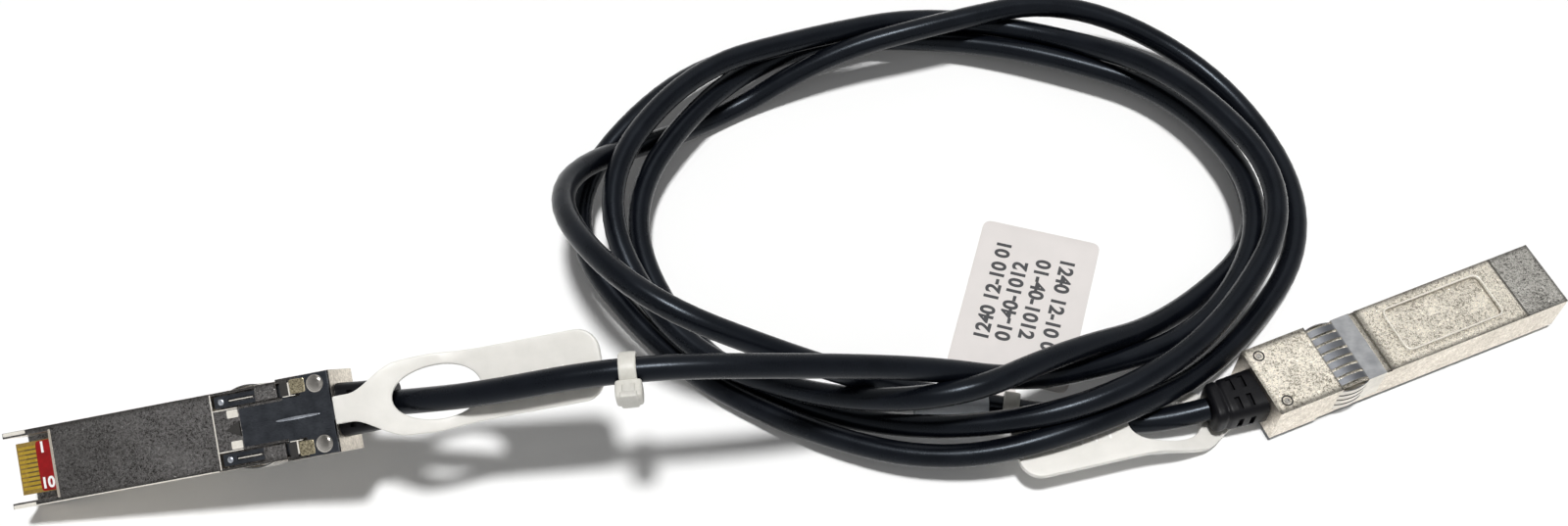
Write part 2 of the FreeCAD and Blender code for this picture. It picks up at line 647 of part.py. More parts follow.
def cord_pieces():
    """Both leads, the coil and everything that rides on the cord."""
    left_route = cord_route("left", LEFT_ROUTE)
    left = tube(left_route, "left lead").cut(placed(boot(PLUGS["left"][2]), "left"))
    right = tube(cord_route("right", RIGHT_ROUTE), "right lead")
    right = right.cut(placed(boot(PLUGS["right"][2]), "right"))
    run = left_route[CABLE_TIE_RUN + 1] - left_route[CABLE_TIE_RUN]
    cable_tie = tie_on_cord(left_route[CABLE_TIE_RUN] + run * CABLE_TIE_AT, run).cut(left)
    strand = LABEL_STRAND - INNER_STRAND
    tag_tie = collar_on_cord(INNER_STRAND, strand, TIE_WIDTH, TIE_WALL)
    label = collar_on_cord(LABEL_STRAND, strand, SLEEVE_LENGTH, SLEEVE_WALL)
    tag = marker_tag(tag_tie)
    ring = coil()
    room = placed(tab_path(PLUGS["right"][3]), "right")
    right_boot = placed(boot(PLUGS["right"][2]), "right")
    for piece in (room, right_boot, left, right, tag_tie, label, tag):
        ring = ring.cut(piece)
    return {
        "cable_left_lead": left,
        "cable_coil": ring,
        "cable_right_lead": right,
        "cable_tie": cable_tie,
        "tag_tie": tag_tie,
        "marker_tag": tag,
        "product_label": label,
    }


def main():
    """Build every node and write it as its own file."""
    os.makedirs("parts", exist_ok=True)
    nodes = {}
    for side in PLUGS:
        nodes.update(plug(side))
    nodes.update(cord_pieces())
    for name, shape in nodes.items():
        shape.exportStep("parts/" + name + ".step")
        box = shape.BoundBox
        print(name, len(shape.Solids), shape.isValid(), round(shape.Volume, 2),
              [round(v, 2) for v in (box.XMin, box.XMax, box.YMin, box.YMax, box.ZMin, box.ZMax)])


main()
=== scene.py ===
# %% [markdown]
# # A direct attach copper cable, lying coiled on a table
# Two identical pluggable plugs share one black twinax cord. The left plug lies on its cover, so
# its sliding latch is on show, and the right plug stands on its latch. Every solid comes from
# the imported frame, in metres. This lesson gives the solids their finishes, and makes anew what
# is soft, moulded or bent: the cord, the boots, the pull tabs, the ties, the tag and the label.

# %% The frame
import math

import bmesh
import bpy
import numpy as np
from mathutils import Matrix, Vector
from mathutils.geometry import delaunay_2d_cdt


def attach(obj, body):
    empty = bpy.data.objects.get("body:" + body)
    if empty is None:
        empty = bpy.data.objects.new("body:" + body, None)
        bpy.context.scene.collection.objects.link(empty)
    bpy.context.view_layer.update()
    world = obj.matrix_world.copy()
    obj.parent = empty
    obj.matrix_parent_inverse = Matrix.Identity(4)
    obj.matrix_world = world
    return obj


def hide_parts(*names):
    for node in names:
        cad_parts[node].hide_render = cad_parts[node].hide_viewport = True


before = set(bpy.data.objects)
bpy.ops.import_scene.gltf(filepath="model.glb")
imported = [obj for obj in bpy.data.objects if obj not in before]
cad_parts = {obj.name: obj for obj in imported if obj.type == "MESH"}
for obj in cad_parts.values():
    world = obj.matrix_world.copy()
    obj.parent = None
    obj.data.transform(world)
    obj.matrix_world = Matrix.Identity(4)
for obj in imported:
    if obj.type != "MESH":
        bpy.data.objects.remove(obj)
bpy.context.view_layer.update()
scene = bpy.context.scene
MM = 0.001
SIDES = ("left", "right")

# %% [markdown]
# ## Where each plug lies
# A plug is easiest to think of in its own frame: X from the nose to the rear, Y across, and Z up
# from the underside of the nose, in millimetres. Each plug then has one placement, made of the
# place of its nose and of three turns. The same numbers place the solids of the frame.

# %% Plug placements
PLUG_PLACES = {             # place of the nose, then yaw, pitch and roll in degrees
    "left": ((-141.0, -20.6, 10.45), (4.0, -14.1, -150.9)),
    "right": ((140.4, 21.4, 1.25), (-157.3, 0.0, 0.0)),
}
PLUG_REAR = 62.5
CORD_HEIGHT = 4.25
BOOT_BENDS = {"left": 5.0, "right": -11.0}
TAB_SWINGS = {"left": 0.0, "right": -8.8}


def turn(axis, degrees):
    """A 3 by 3 rotation about one axis."""
    return np.array(Matrix.Rotation(math.radians(degrees), 3, axis))


def to_world(side, points):
    """Plug points in millimetres to the frame's metres: turn by roll, pitch, yaw, then move."""
    nose, (yaw, pitch, roll) = PLUG_PLACES[side]
    rotation = turn("Z", yaw) @ turn("Y", pitch) @ turn("X", roll)
    points = np.atleast_2d(np.asarray(points, dtype=float))
    return (points @ rotation.T + np.array(nose)) * MM


for side in SIDES:
    rear = to_world(side, (PLUG_REAR, 0, CORD_HEIGHT))
    print(side, "plug's rear centre at", rear.round(4).tolist())

# %% [markdown]
# ## Meshes from grids
# Most new pieces are surfaces worked out on a grid: `u` runs round a profile and `v` runs along a
# path. One helper turns the grid into faces, so that every piece below is only its formula.

# %% Grid helpers
SAME_POINT = 1e-7           # metres: points nearer than this are one


def add_piece(name, points, faces, material, body, smooth=True):
    """A mesh object at the origin from points in metres, riding on a body."""
    mesh = bpy.data.meshes.new(name)
    mesh.from_pydata(np.asarray(points).tolist(), [], [list(f) for f in faces])
    mesh.materials.append(material)
    mesh.polygons.foreach_set("use_smooth", [smooth] * len(mesh.polygons))
    mesh.update()
    piece = bpy.data.objects.new(name, mesh)
    scene.collection.objects.link(piece)
    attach(piece, body)
    return piece


def grid_faces(rows, columns, closed_rows=False, closed_columns=True):
    """Four-sided faces of a grid: each joins a point to its next in the row and in the column."""
    row = np.arange(rows if closed_rows else rows - 1)
    column = np.arange(columns if closed_columns else columns - 1)
    a, b = np.meshgrid(row, column, indexing="ij")
    c, d = (a + 1) % rows, (b + 1) % columns
    quads = np.stack([a * columns + b, a * columns + d, c * columns + d, c * columns + b], -1)
    return quads.reshape(-1, 4).tolist()


def end_faces(rows, columns):
    """The two many-sided faces that close the ends of a tube of rings."""
    first = list(range(columns))[::-1]
    last = list(range((rows - 1) * columns, rows * columns))
    return [first, last]


def signed_power(value, power):
    """The value's size raised to a power, with its own sign: it makes a circle squarer."""
    return np.sign(value) * np.abs(value) ** power


def rounded_box(size, power=8.0, steps=24):
    """Superellipsoid: half sizes times signed powers of sines and cosines. Power 2 is a dome."""
    u = np.linspace(0, 2 * np.pi, steps, endpoint=False)
    v = np.linspace(-np.pi / 2, np.pi / 2, steps // 2 + 1)[1:-1]
    v, u = np.meshgrid(v, u, indexing="ij")
    bend = 2.0 / power
    level = signed_power(np.cos(v), bend)
    points = np.stack([size[0] / 2 * level * signed_power(np.cos(u), bend),
                       size[1] / 2 * level * signed_power(np.sin(u), bend),
                       size[2] / 2 * signed_power(np.sin(v), bend)], -1)
    rows, columns = points.shape[:2]
    return points.reshape(-1, 3), grid_faces(rows, columns) + end_faces(rows, columns)


def joined(parts):
    """Several meshes as one: points in turn, and each part's faces counted on from there."""
    points, faces, first = [], [], 0
    for part_points, part_faces in parts:
        points.append(part_points)
        faces += [[i + first for i in face] for face in part_faces]
        first += len(part_points)
    return np.vstack(points), faces


def domes(size, places, steps):
    """The same low dome at several places."""
    points, faces = rounded_box(size, 2.0, steps)
    return joined([(points + place, faces) for place in places])


def outward(piece):
    """Merge points at one place and point every face outwards."""
    shell = bmesh.new()
    shell.from_mesh(piece.data)
    bmesh.ops.remove_doubles(shell, verts=shell.verts, dist=SAME_POINT)
    bmesh.ops.recalc_face_normals(shell, faces=shell.faces)
    shell.to_mesh(piece.data)
    shell.free()
    return piece


# %% [markdown]
# ## A small language for materials
# A material is a sum of noises and masks, which reads best as plain arithmetic. `Number` wraps a
# socket, and the usual signs on it add Math nodes. `Paint.node` adds any other node: first its
# settings, then the values or links of its sockets.

# %% Shader maths


class Number:
    """A number or colour that a material works out."""

    def __init__(self, paint, socket):
        self.paint = paint
        self.socket = socket

    def maths(self, operation, first, second):
        """A Math node on two numbers."""
        return self.paint.node("ShaderNodeMath", {"operation": operation}, {0: first, 1: second})

    def __add__(self, other):
        return self.maths("ADD", self, other)

    def __sub__(self, other):
        return self.maths("SUBTRACT", self, other)

    def __rsub__(self, other):
        return self.maths("SUBTRACT", other, self)

    def __mul__(self, other):
        return self.maths("MULTIPLY", self, other)

    __radd__ = __add__
    __rmul__ = __mul__


class Nodes:
    """A node tree that is written as expressions."""

    def __init__(self, tree):
        self.tree = tree

    def node(self, kind, settings, sockets, output=0):
        """Any node: settings first, then socket values or links. Returns one output."""
        node = self.tree.nodes.new(kind)
        for key, value in settings.items():
            if key == "stops":
                ramp = node.color_ramp
                while len(ramp.elements) < len(value):
                    ramp.elements.new(0.5)
                for stop, (position, colour) in zip(ramp.elements, value):
                    stop.position = position
                    stop.color = (*colour, 1)
            else:
                setattr(node, key, value)
        for key, value in sockets.items():
            if isinstance(value, Number):
                self.tree.links.new(value.socket, node.inputs[key])
            else:
                node.inputs[key].default_value = value
        return Number(self, node.outputs[output])

    def span(self, value, low, high, out_low=0.0, out_high=1.0):
        """A number from low..high carried to out_low..out_high, and held there beyond."""
        return self.node("ShaderNodeMapRange", {"clamp": True}, {
            0: value, 1: low, 2: high, 3: out_low, 4: out_high})

    def rays(self):
        """Light Path's marks for rays from the camera, and for gloss and clear rays."""
        path = self.tree.nodes.new("ShaderNodeLightPath")
        names = ("Is Camera Ray", "Is Glossy Ray", "Is Transmission Ray")
        camera_ray, gloss, clear = [Number(self, path.outputs[name]) for name in names]
        return camera_ray, gloss + clear


class Paint(Nodes):
    """One procedural material with a Principled shader."""

    def __init__(self, name, **constants):
        self.material = bpy.data.materials.new(name)
        self.material.use_nodes = True
        super().__init__(self.material.node_tree)
        self.shader = self.tree.nodes["Principled BSDF"]
        for socket, value in constants.items():
            self.shader.inputs[socket.replace("_", " ")].default_value = value
        self.place = self.node("ShaderNodeTexCoord", {}, {}, "Object")

    def noise(self, size_mm, detail=2.0, rough=0.5, place=None):
        """Soft cloudy noise whose blotches are about size_mm across."""
        return self.node("ShaderNodeTexNoise", {}, {
            "Vector": place or self.place, "Scale": 1.0 / (size_mm * MM), "Detail": detail,
            "Roughness": rough})

    def along(self, side, axis):
        """Millimetres along a plug's own axis 0, 1 or 2: the place less its origin, dotted."""
        origin, tip = to_world(side, [(0, 0, 0), tuple(float(i == axis) for i in range(3))])
        away = self.node("ShaderNodeVectorMath", {"operation": "SUBTRACT"},
                         {0: self.place, 1: tuple(origin)})
        return self.node("ShaderNodeVectorMath", {"operation": "DOT_PRODUCT"},
                         {0: away, 1: tuple((tip - origin) / MM)}, 1) * (1 / MM)

    def band(self, value, low, high, soft):
        """1 between low and high, and a fade of width soft to 0 on both sides."""
        return self.span(value, low - soft, low) * self.span(value, high, high + soft, 1.0, 0.0)

    def ramp(self, value, stops):
        """Colour picked along stops by a number."""
        return self.node("ShaderNodeValToRGB", {"stops": stops}, {0: value})

    def mix(self, factor, first, second):
        """Mix of two colours by a factor."""
        colours = [c if isinstance(c, Number) else (*c, 1) for c in (first, second)]
        return self.node("ShaderNodeMix", {"data_type": "RGBA"},
                         {0: factor, 6: colours[0], 7: colours[1]}, 2)

    def bump(self, height, depth_mm):
        """Normal bent by a height given as a share of depth_mm."""
        return self.node("ShaderNodeBump", {}, {
            "Height": height, "Distance": depth_mm * MM, "Strength": 1.0})

    def finish(self, **links):
        """Join worked-out values to the shader's sockets, and return the material."""
        for socket, value in links.items():
            self.tree.links.new(value.socket, self.shader.inputs[socket.replace("_", " ")])
        print("finish:", self.material.name, len(self.tree.nodes), "nodes")
        return self.material


# %% [markdown]
# ## The jacket
# The cord's jacket is black plastic, smooth and a little waxy. Its shine is broad and soft, with
# faint bands of handling wear. A tiny extrusion ripple breaks the highlight up.

# %% Jacket material


def jacket_finish():
    """Nearly black base, roughness from two noises, and a bump of fine ripple."""
    paint = Paint("jacket black", Specular_IOR_Level=0.18, Specular_Tint=(0.78, 0.88, 1.0, 1.0))
    wear = paint.noise(7.0, 3.0)
    grain = paint.noise(0.35, 3.0, 0.6)
    colour = paint.ramp(wear, [(0.3, (0.0016, 0.0021, 0.0036)), (0.7, (0.0036, 0.0044, 0.0068))])
    rough = paint.span(wear, 0.3, 0.7, 0.21, 0.29) + grain * 0.06
    return paint.finish(Base_Color=colour, Roughness=rough, Normal=paint.bump(grain, 0.012))


JACKET = jacket_finish()

# %% [markdown]
# ## The cord
# The cord is one fixed length, so it is one open spline. It leaves the left boot, threads the left
# pull tab, runs up and over in a shallow arch, turns four loose rounds, and goes back under the
# right pull tab to the right boot. A NURBS spline is smooth by itself, so the coil's turns are
# twelve given control points each: a direction, a distance from the middle, and a height.

# %% Cord route
CORD_DIAMETER = 0.0044      # this and the next are in metres, all else in millimetres
COIL_MIDDLE = (26.0, 37.0)
LEFT_BOOT_END = (-70.5, -14.0, 24.2)
RIGHT_BOOT_END = (73.67, -5.53, 5.5)
LEFT_ROUTE = [
    (-62.5, -14.8, 27.0), (-53.0, -15.5, 30.8), (-36.5, -14.3, 34.9), (-22.0, -13.1, 35.4),
    (-7.0, -11.5, 32.6), (8.0, -8.6, 27.3), (23.0, -5.5, 20.5), (35.5, -4.2, 14.8),
]
RIGHT_ROUTE = [(65.0, -7.4, 4.0), (56.0, -6.5, 2.4), (48.0, -5.6, 2.3)]
FIRST_DIRECTION = -60
STEP_DEGREES = 30.0
COIL_TURNS = [              # distance from the coil's middle, and height
    [(43.5, 9.5), (57, 8.5), (65, 9), (59, 6), (46.5, 6.5), (46, 4),
     (50.5, 6), (54, 9), (62, 6.5), (56, 2), (48.5, 2.5), (48.5, 8)],
    [(53.5, 14.5), (59, 12), (69, 13.5), (57.5, 14.5), (51.5, 7), (49, 8),
     (47, 11.5), (57.5, 15), (67, 13.5), (59, 6), (49, 9), (49, 21.5)],
    [(42, 16.5), (49.5, 6), (67, 1.5), (63, 3), (52.5, 2), (51.5, 3),
     (53.5, 1.5), (61, 11.5), (75.5, 6), (60.5, 1.5), (53.5, 4), (54.5, 6.5)],
    [(55.5, 11), (62, 3.5), (75.5, 2), (72.5, 2.5), (59.5, 11.5), (42.5, 12.5),
     (43, 9.5), (53.5, -1.5), (77, 19.5), (67.5, 32.5), (48.5, 20.5), (38.5, 2)],
]


def coil_points():
    """Control points of the turns: the middle plus the radius along each direction in turn."""
    rows = np.array([point for row in COIL_TURNS for point in row])
    angle = np.radians(FIRST_DIRECTION + STEP_DEGREES * np.arange(len(rows)))
    x = COIL_MIDDLE[0] + rows[:, 0] * np.cos(angle)
    y = COIL_MIDDLE[1] + rows[:, 0] * np.sin(angle)
    return np.stack([x, y, rows[:, 1]], -1)


def cord_points():
    """The whole route in metres, from the left boot to the right boot."""
    return np.vstack([LEFT_BOOT_END, LEFT_ROUTE, coil_points(), RIGHT_ROUTE[::-1],
                      RIGHT_BOOT_END]) * MM


def open_spline(name, points):
    """One open NURBS spline of order 3 that reaches its end points."""
    curve = bpy.data.curves.new(name, "CURVE")
    curve.dimensions = "3D"
    curve.resolution_u = 10
    curve.render_resolution_u = 10
    curve.use_fill_caps = True
    spline = curve.splines.new("NURBS")
    spline.points.add(len(points) - 1)
    spline.points.foreach_set("co", np.hstack([points, np.ones((len(points), 1))]).ravel())
    spline.order_u = 3
    spline.use_endpoint_u = True
    piece = bpy.data.objects.new(name, curve)
    scene.collection.objects.link(piece)
    return piece


def read_line(piece):
    """The spline's own points, read from its mesh while it has no bevel."""
    mesh = bpy.data.meshes.new_from_object(piece)
    line = np.empty(len(mesh.vertices) * 3)
    mesh.vertices.foreach_get("co", line)
    bpy.data.meshes.remove(mesh)
    return line.reshape(-1, 3)


cord = open_spline("twinax_cord", cord_points())
cord_line = read_line(cord)
cord.data.bevel_depth = CORD_DIAMETER / 2
cord.data.bevel_resolution = 7
cord.data.materials.append(JACKET)
steps = np.linalg.norm(np.diff(cord_line, axis=0), axis=1)
print("cord length", round(float(steps.sum()), 3), "m in", len(cord_line), "points")

# %% [markdown]
# ## Camera, floor and light
# The camera looks down steeply at the cable. The floor is pale and keeps the soft grey shadow. To
# the camera and to the metal the surroundings are white, and the lamps stay at a plain level.

# %% Camera
camera = bpy.data.objects.new("camera", bpy.data.cameras.new("camera"))
camera.data.lens = 40.53
camera.data.sensor_width = 36.0
camera.data.shift_y = 0.017
camera.data.clip_start = 0.01
camera.location = (-0.004, -0.156, 0.29295)
camera.rotation_euler = (math.radians(31.505), 0.0, 0.0)
scene.collection.objects.link(camera)
scene.camera = camera
scene.view_settings.view_transform = "Standard"

# %% Floor
FLOOR_HALF = 1.6            # metres
FLOOR_GLOW = 0.05
GLOSS_GLOW = 0.28


def floor_finish():
    """Pale floor: a grey that takes shadow, plus a glow for camera, gloss and clear rays."""
    paint = Paint("pale floor", Roughness=0.9, Specular_IOR_Level=0.1)
    cloud = paint.noise(60.0, 2.0)
    colour = paint.ramp(cloud, [(0.3, (0.885, 0.885, 0.88)), (0.7, (0.905, 0.905, 0.90))])
    paint.finish(Base_Color=colour)
    camera_ray, clear_ray = paint.rays()
    glow = paint.node("ShaderNodeEmission", {}, {
        "Color": (1, 1, 1, 1), "Strength": camera_ray * FLOOR_GLOW + clear_ray * GLOSS_GLOW})
    both = paint.node("ShaderNodeAddShader", {}, {0: Number(paint, paint.shader.outputs[0]),
                                                  1: glow})
    output = paint.tree.nodes["Material Output"]
    paint.tree.links.new(both.socket, output.inputs["Surface"])
    return paint.material


floor_mesh = bpy.data.meshes.new("floor")
floor_corners = [(x * FLOOR_HALF, y * FLOOR_HALF, 0) for x, y in ((-1, -1), (1, -1), (1, 1), (-1, 1))]
floor_mesh.from_pydata(floor_corners, [], [(0, 1, 2, 3)])
floor_mesh.materials.append(floor_finish())
floor = bpy.data.objects.new("floor", floor_mesh)
scene.collection.objects.link(floor)

# %% Lamps and surroundings


def soft_lamp(name, place, target, size, watts):
    """A square area lamp aimed at a point."""
    lamp = bpy.data.lights.new(name, "AREA")
    lamp.energy = watts
    lamp.size = size
    holder = bpy.data.objects.new(name, lamp)
    holder.location = place
    aim = Vector(target) - Vector(place)
    holder.rotation_euler = aim.to_track_quat("-Z", "Y").to_euler()
    scene.collection.objects.link(holder)


def far_lamp(name, strength, width_degrees, lean_degrees):
    """A sun lamp: parallel light from nearly overhead, leaning a little to the front."""
    lamp = bpy.data.lights.new(name, "SUN")
    lamp.energy = strength
    lamp.angle = math.radians(width_degrees)
    holder = bpy.data.objects.new(name, lamp)
    holder.rotation_euler = (math.radians(lean_degrees), 0, 0)
    scene.collection.objects.link(holder)


far_lamp("key", strength=2.95, width_degrees=8.0, lean_degrees=3.0)
soft_lamp("fill", place=(0.15, -0.5, 0.8), target=(0, 0, 0), size=0.7, watts=0.5)

# %% [markdown]
# The surroundings are a pale room with a darker ceiling and one window. To the camera they are
# plain white. Gloss rays see the walls low down, the ceiling high up and the window behind the
# cable, which gives the metal its contrast. Heights here are from 0 at the horizon to 1 overhead.

# %% Surroundings
ROOM_LIGHT = 0.115
WALL_HEIGHTS = (0.25, 0.95)
WALL_LIGHTS = (0.85, 0.25)
WINDOW_DIRECTION = (0.10, 0.53, 0.84)
WINDOW_EDGE = (0.86, 0.97)          # cosines of the angle from its middle: outside and inside
WINDOW_LIGHT = 0.62


def surroundings():
    """Strength is 1 for the camera and ROOM_LIGHT for plain rays.

    Gloss rays see walls that darken upwards, and a bright window high up behind the cable.
    """
    world = bpy.data.worlds.new("studio")
    world.use_nodes = True
    nodes = Nodes(world.node_tree)
    direction = nodes.node("ShaderNodeTexCoord", {}, {}, "Generated")
    upwards = nodes.node("ShaderNodeSeparateXYZ", {}, {0: direction}, "Z")
    window = nodes.node("ShaderNodeVectorMath", {"operation": "DOT_PRODUCT"},
                        {0: direction, 1: WINDOW_DIRECTION}, 1)
    seen = (nodes.span(upwards, *WALL_HEIGHTS, *WALL_LIGHTS)
            + nodes.span(window, *WINDOW_EDGE, 0, WINDOW_LIGHT))
    camera_ray, clear_ray = nodes.rays()
    strength = camera_ray * (1 - ROOM_LIGHT) + clear_ray * (seen - ROOM_LIGHT) + ROOM_LIGHT
    backdrop = world.node_tree.nodes["Background"]
    backdrop.inputs["Color"].default_value = (1, 1, 1, 1)
    world.node_tree.links.new(strength.socket, backdrop.inputs["Strength"])
    return world


scene.world = surroundings()
print("camera, floor, two lamps and surroundings are in place")

# %% [markdown]
# ## The die-cast shells
# The plug's body and cover are zinc die castings with a nickel plate. The skin is bright but
# mottled: small flow marks from the die turn each speck of plating a little another way, so the
# metal sparkles from pale gold-grey to dark. A fine noise gives the specks, and two broader ones
# gather them in patches. The same noise bends the surface. Dark bands across the plug mark the
# seams, painted shade darkens the long edges, the ends and a groove, and one broad band darkens the
# underside near the nose.

# %% Plated zinc


def plated_zinc(name, side, pale, dark, speck_mm, strength, marks=(), edge=0.0):
    """Specks of nickel plating from noises, an orange peel, and dark bands across the plug: seam
    lines, and painted shade in a groove and at the ends.

    Each mark is a low and a high distance along the plug, a softness, and a depth from 0 to 1.
    edge is how much painted shade darkens the skin towards both long edges, by the square of the
    distance.
    """
    paint = Paint(name, Metallic=1.0)
    cloud = paint.noise(5.0, 2.0)
    fleck = paint.noise(speck_mm, 4.0, 0.7)
    broad = paint.noise(speck_mm * 2.6, 2.0, 0.6)
    mask = paint.span(fleck * 0.55 + broad * 0.3 + cloud * 0.15, 0.40, 0.60)
    colour = paint.mix(mask, dark, pale)
    along = paint.along(side, 0)
    # Each band mixes in the dark tone: seam lines are dark joints, and the groove and the ends are
    # painted shade.
    for low, high, soft, depth in marks:
        colour = paint.mix(paint.band(along, low, high, soft) * depth, colour, SEAM_AND_SHADE_DARK)
    across = paint.along(side, 1)
    # Painted shade: the skin darkens towards both long edges.
    rim = paint.span(across * across, *EDGE_SHADE_SQUARES) * edge
    colour = paint.mix(rim, colour, SEAM_AND_SHADE_DARK)
    rough = paint.span(mask, 0, 1, SPECK_ROUGH, SKIN_ROUGH)
    return paint.finish(Base_Color=colour, Roughness=rough,
                        Normal=paint.bump(fleck * 0.7 + broad * 0.3, PEEL_MM * strength))


# One dark tone for the seam lines, and for the painted shade at the edges, the ends and a groove.
SEAM_AND_SHADE_DARK = (0.035, 0.033, 0.030)
EDGE_SHADE_SQUARES = (33.0, 43.5)          # squared distances across, from clean to fully dark
SPECK_ROUGH, SKIN_ROUGH = 0.46, 0.24
PEEL_MM = 0.05
# Bands along the plug: the seam behind the hood and the line at the collar's lip are dark joints,
# while the groove band, its middle line and the rear end are painted shade. The hood adds painted
# shade at the nose's front edge, and the underside has one broad darker band near the nose.
COVER_SEAMS_AND_SHADE = [(8.6, 8.95, 0.12, 0.85), (37.9, 39.2, 0.8, 0.6), (38.45, 38.7, 0.2, 0.7),
               (49.3, 49.5, 0.15, 0.7), (62.2, 62.7, 0.5, 0.55)]
HOOD_SEAM_AND_SHADE = [COVER_SEAMS_AND_SHADE[0], (-0.2, 0.2, 0.5, 0.6)]
UNDER_MARKS = [(9.0, 15.0, 14.0, 0.30)]
# The tones by which way a face looks are lit and shaded copies of one plating: the pale tops, the mid
# sides and the dark underside are painted light and shade.
ZINC_TONES = {              # pale, dark, size of the specks in mm, strength, marks, edge
    "zinc": ((0.72, 0.66, 0.57), (0.48, 0.435, 0.37), 0.4, 0.4),
    "zinc cover": ((0.96, 0.90, 0.78), (0.13, 0.115, 0.088), 0.22, 1.9, COVER_SEAMS_AND_SHADE, 0.75),
    "zinc hood": ((0.58, 0.565, 0.52), (0.035, 0.032, 0.028), 0.22, 1.9, HOOD_SEAM_AND_SHADE, 0.6),
    "zinc underside": ((0.25, 0.240, 0.235), (0.006, 0.005, 0.0045), 0.21, 1.8, UNDER_MARKS, 0.7),
}
ZINC = {(side, name): plated_zinc(side + " " + name, side, *tone)
        for side in SIDES for name, tone in ZINC_TONES.items()}

# %% [markdown]
# ## Sheet metals, laminate and copper
# The shielding collar is spring steel with a smooth cool sheen. The latch is darker steel, brushed
# along its length. The circuit board is laminate under a red mask near the contacts.

# %% Sheet and board materials


def sheet_steel(name, pale, dark, rough, side=None):
    """Cool smooth sheet: a long faint brushing and soft clouds. side darkens the fingers."""
    paint = Paint(name, Metallic=1.0)
    stretched = paint.node("ShaderNodeMapping", {"vector_type": "POINT"}, {
        "Vector": paint.place, "Scale": (0.12, 1.0, 1.0)})
    brush = paint.noise(0.12, 2.0, 0.6, stretched)
    cloud = paint.noise(2.5, 2.0)
    colour = paint.ramp(cloud * 0.7 + brush * 0.3, [(0.35, dark), (0.65, pale)])
    if side:
        fingers = paint.band(paint.along(side, 0), *FINGER_BAND) * FINGER_DEPTH
        colour = paint.mix(fingers, colour, FINGER_DARK)
    shine = paint.span(brush, 0.3, 0.7, rough, rough + 0.12)
    return paint.finish(Base_Color=colour, Roughness=shine, Normal=paint.bump(brush, 0.004))


def speckled(name, pale, dark, size_mm, rough, metal=0.0, depth=0.01, **constants):
    """Plain two-tone noise for small pieces, with the size of its blotches and its bump in mm."""
    paint = Paint(name, Metallic=metal, **constants)
    noise = paint.noise(size_mm, 3.0, 0.6)
    colour = paint.ramp(noise, [(0.3, dark), (0.7, pale)])
    shine = paint.span(noise, 0.3, 0.7, rough, rough + 0.1)
    return paint.finish(Base_Color=colour, Roughness=shine, Normal=paint.bump(noise, depth))


FINGER_DARK = (0.060, 0.066, 0.078)
FINGER_BAND = (44.0, 49.3, 0.5)
FINGER_DEPTH = 0.62
COLLAR_STEEL = {side: sheet_steel(side + " collar steel", (0.33, 0.335, 0.34),
                                  (0.22, 0.225, 0.235), 0.36, side) for side in SIDES}
# Pale steel for the collar's sides and finger walls: a lit copy of the collar steel, painted light.
COLLAR_LIT_SIDES = sheet_steel("collar steel painted light", (0.66, 0.63, 0.57), (0.46, 0.44, 0.40), 0.30)
LATCH_STEEL = sheet_steel("latch steel", (0.070, 0.076, 0.088), (0.042, 0.046, 0.054), 0.26)
# A brighter copy of the latch steel for the ridge and the dimples: painted highlight.
RIDGE_HIGHLIGHT_STEEL = sheet_steel("ridge steel painted highlight", (0.50, 0.53, 0.58), (0.30, 0.32, 0.36), 0.24)
RIVET_STEEL = sheet_steel("rivet steel", (0.44, 0.42, 0.39), (0.28, 0.265, 0.245), 0.10)
BOARD = speckled("board laminate", (0.27, 0.18, 0.03), (0.19, 0.12, 0.02), 0.4, 0.42)
RED_MASK = speckled("red solder mask", (0.29, 0.003, 0.005), (0.20, 0.002, 0.003), 1.2, 0.36,
                    Specular_IOR_Level=0.3)
GOLD = speckled("gold plate", (0.66, 0.45, 0.075), (0.50, 0.33, 0.04), 0.5, 0.34, 1.0, 0.003)
# Pale lines along edges and rims, where an edge catches light: painted highlight.
EDGE_HIGHLIGHT = speckled("painted edge highlight", (0.90, 0.86, 0.78), (0.80, 0.76, 0.68), 0.4, 0.30, 0.35)
# Dark laminate in the gaps between contacts: painted shade.
GAP_SHADE = speckled("painted gap shade", (0.085, 0.058, 0.014), (0.050, 0.034, 0.008), 0.3, 0.6)
# Black in slots, round the pins and on the boss: painted shade.
SHADE_BLACK = speckled("painted shade black", (0.016, 0.014, 0.012), (0.006, 0.005, 0.004), 0.3, 0.5)
BRASSY = speckled("brassy zinc", (0.62, 0.55, 0.38), (0.08, 0.065, 0.035), 0.25, 0.26, 1.0, 0.03)
INK = speckled("white ink", (0.92, 0.92, 0.92), (0.80, 0.80, 0.80), 0.3, 0.55)
COPPER = speckled("crimp copper", (0.90, 0.50, 0.32), (0.62, 0.30, 0.18), 0.6, 0.30, 1.0)
INSULATION = speckled("wire insulation", (0.68, 0.70, 0.74), (0.55, 0.57, 0.62), 0.7, 0.42)

# %% [markdown]
# ## Nylon, rubber, tag film
# The pull tabs and the ties are natural nylon, milky where it is thick and clear where it is thin,
# so light is let in below the surface. The boots are soft black moulding with a fine matt grain.

# %% Plastics
MILKY = {"Subsurface_Weight": 0.25, "Subsurface_Scale": 0.001, "Subsurface_Radius": (1, 1, 1)}
NYLON = speckled("milky nylon", (0.83, 0.81, 0.765), (0.78, 0.765, 0.72), 3.0, 0.36, 0.0, 0.02,
                 **MILKY)
TIE_NYLON = speckled("tie nylon", (0.70, 0.685, 0.63), (0.62, 0.605, 0.55), 1.2, 0.38, 0.0, 0.01,
                     **MILKY)
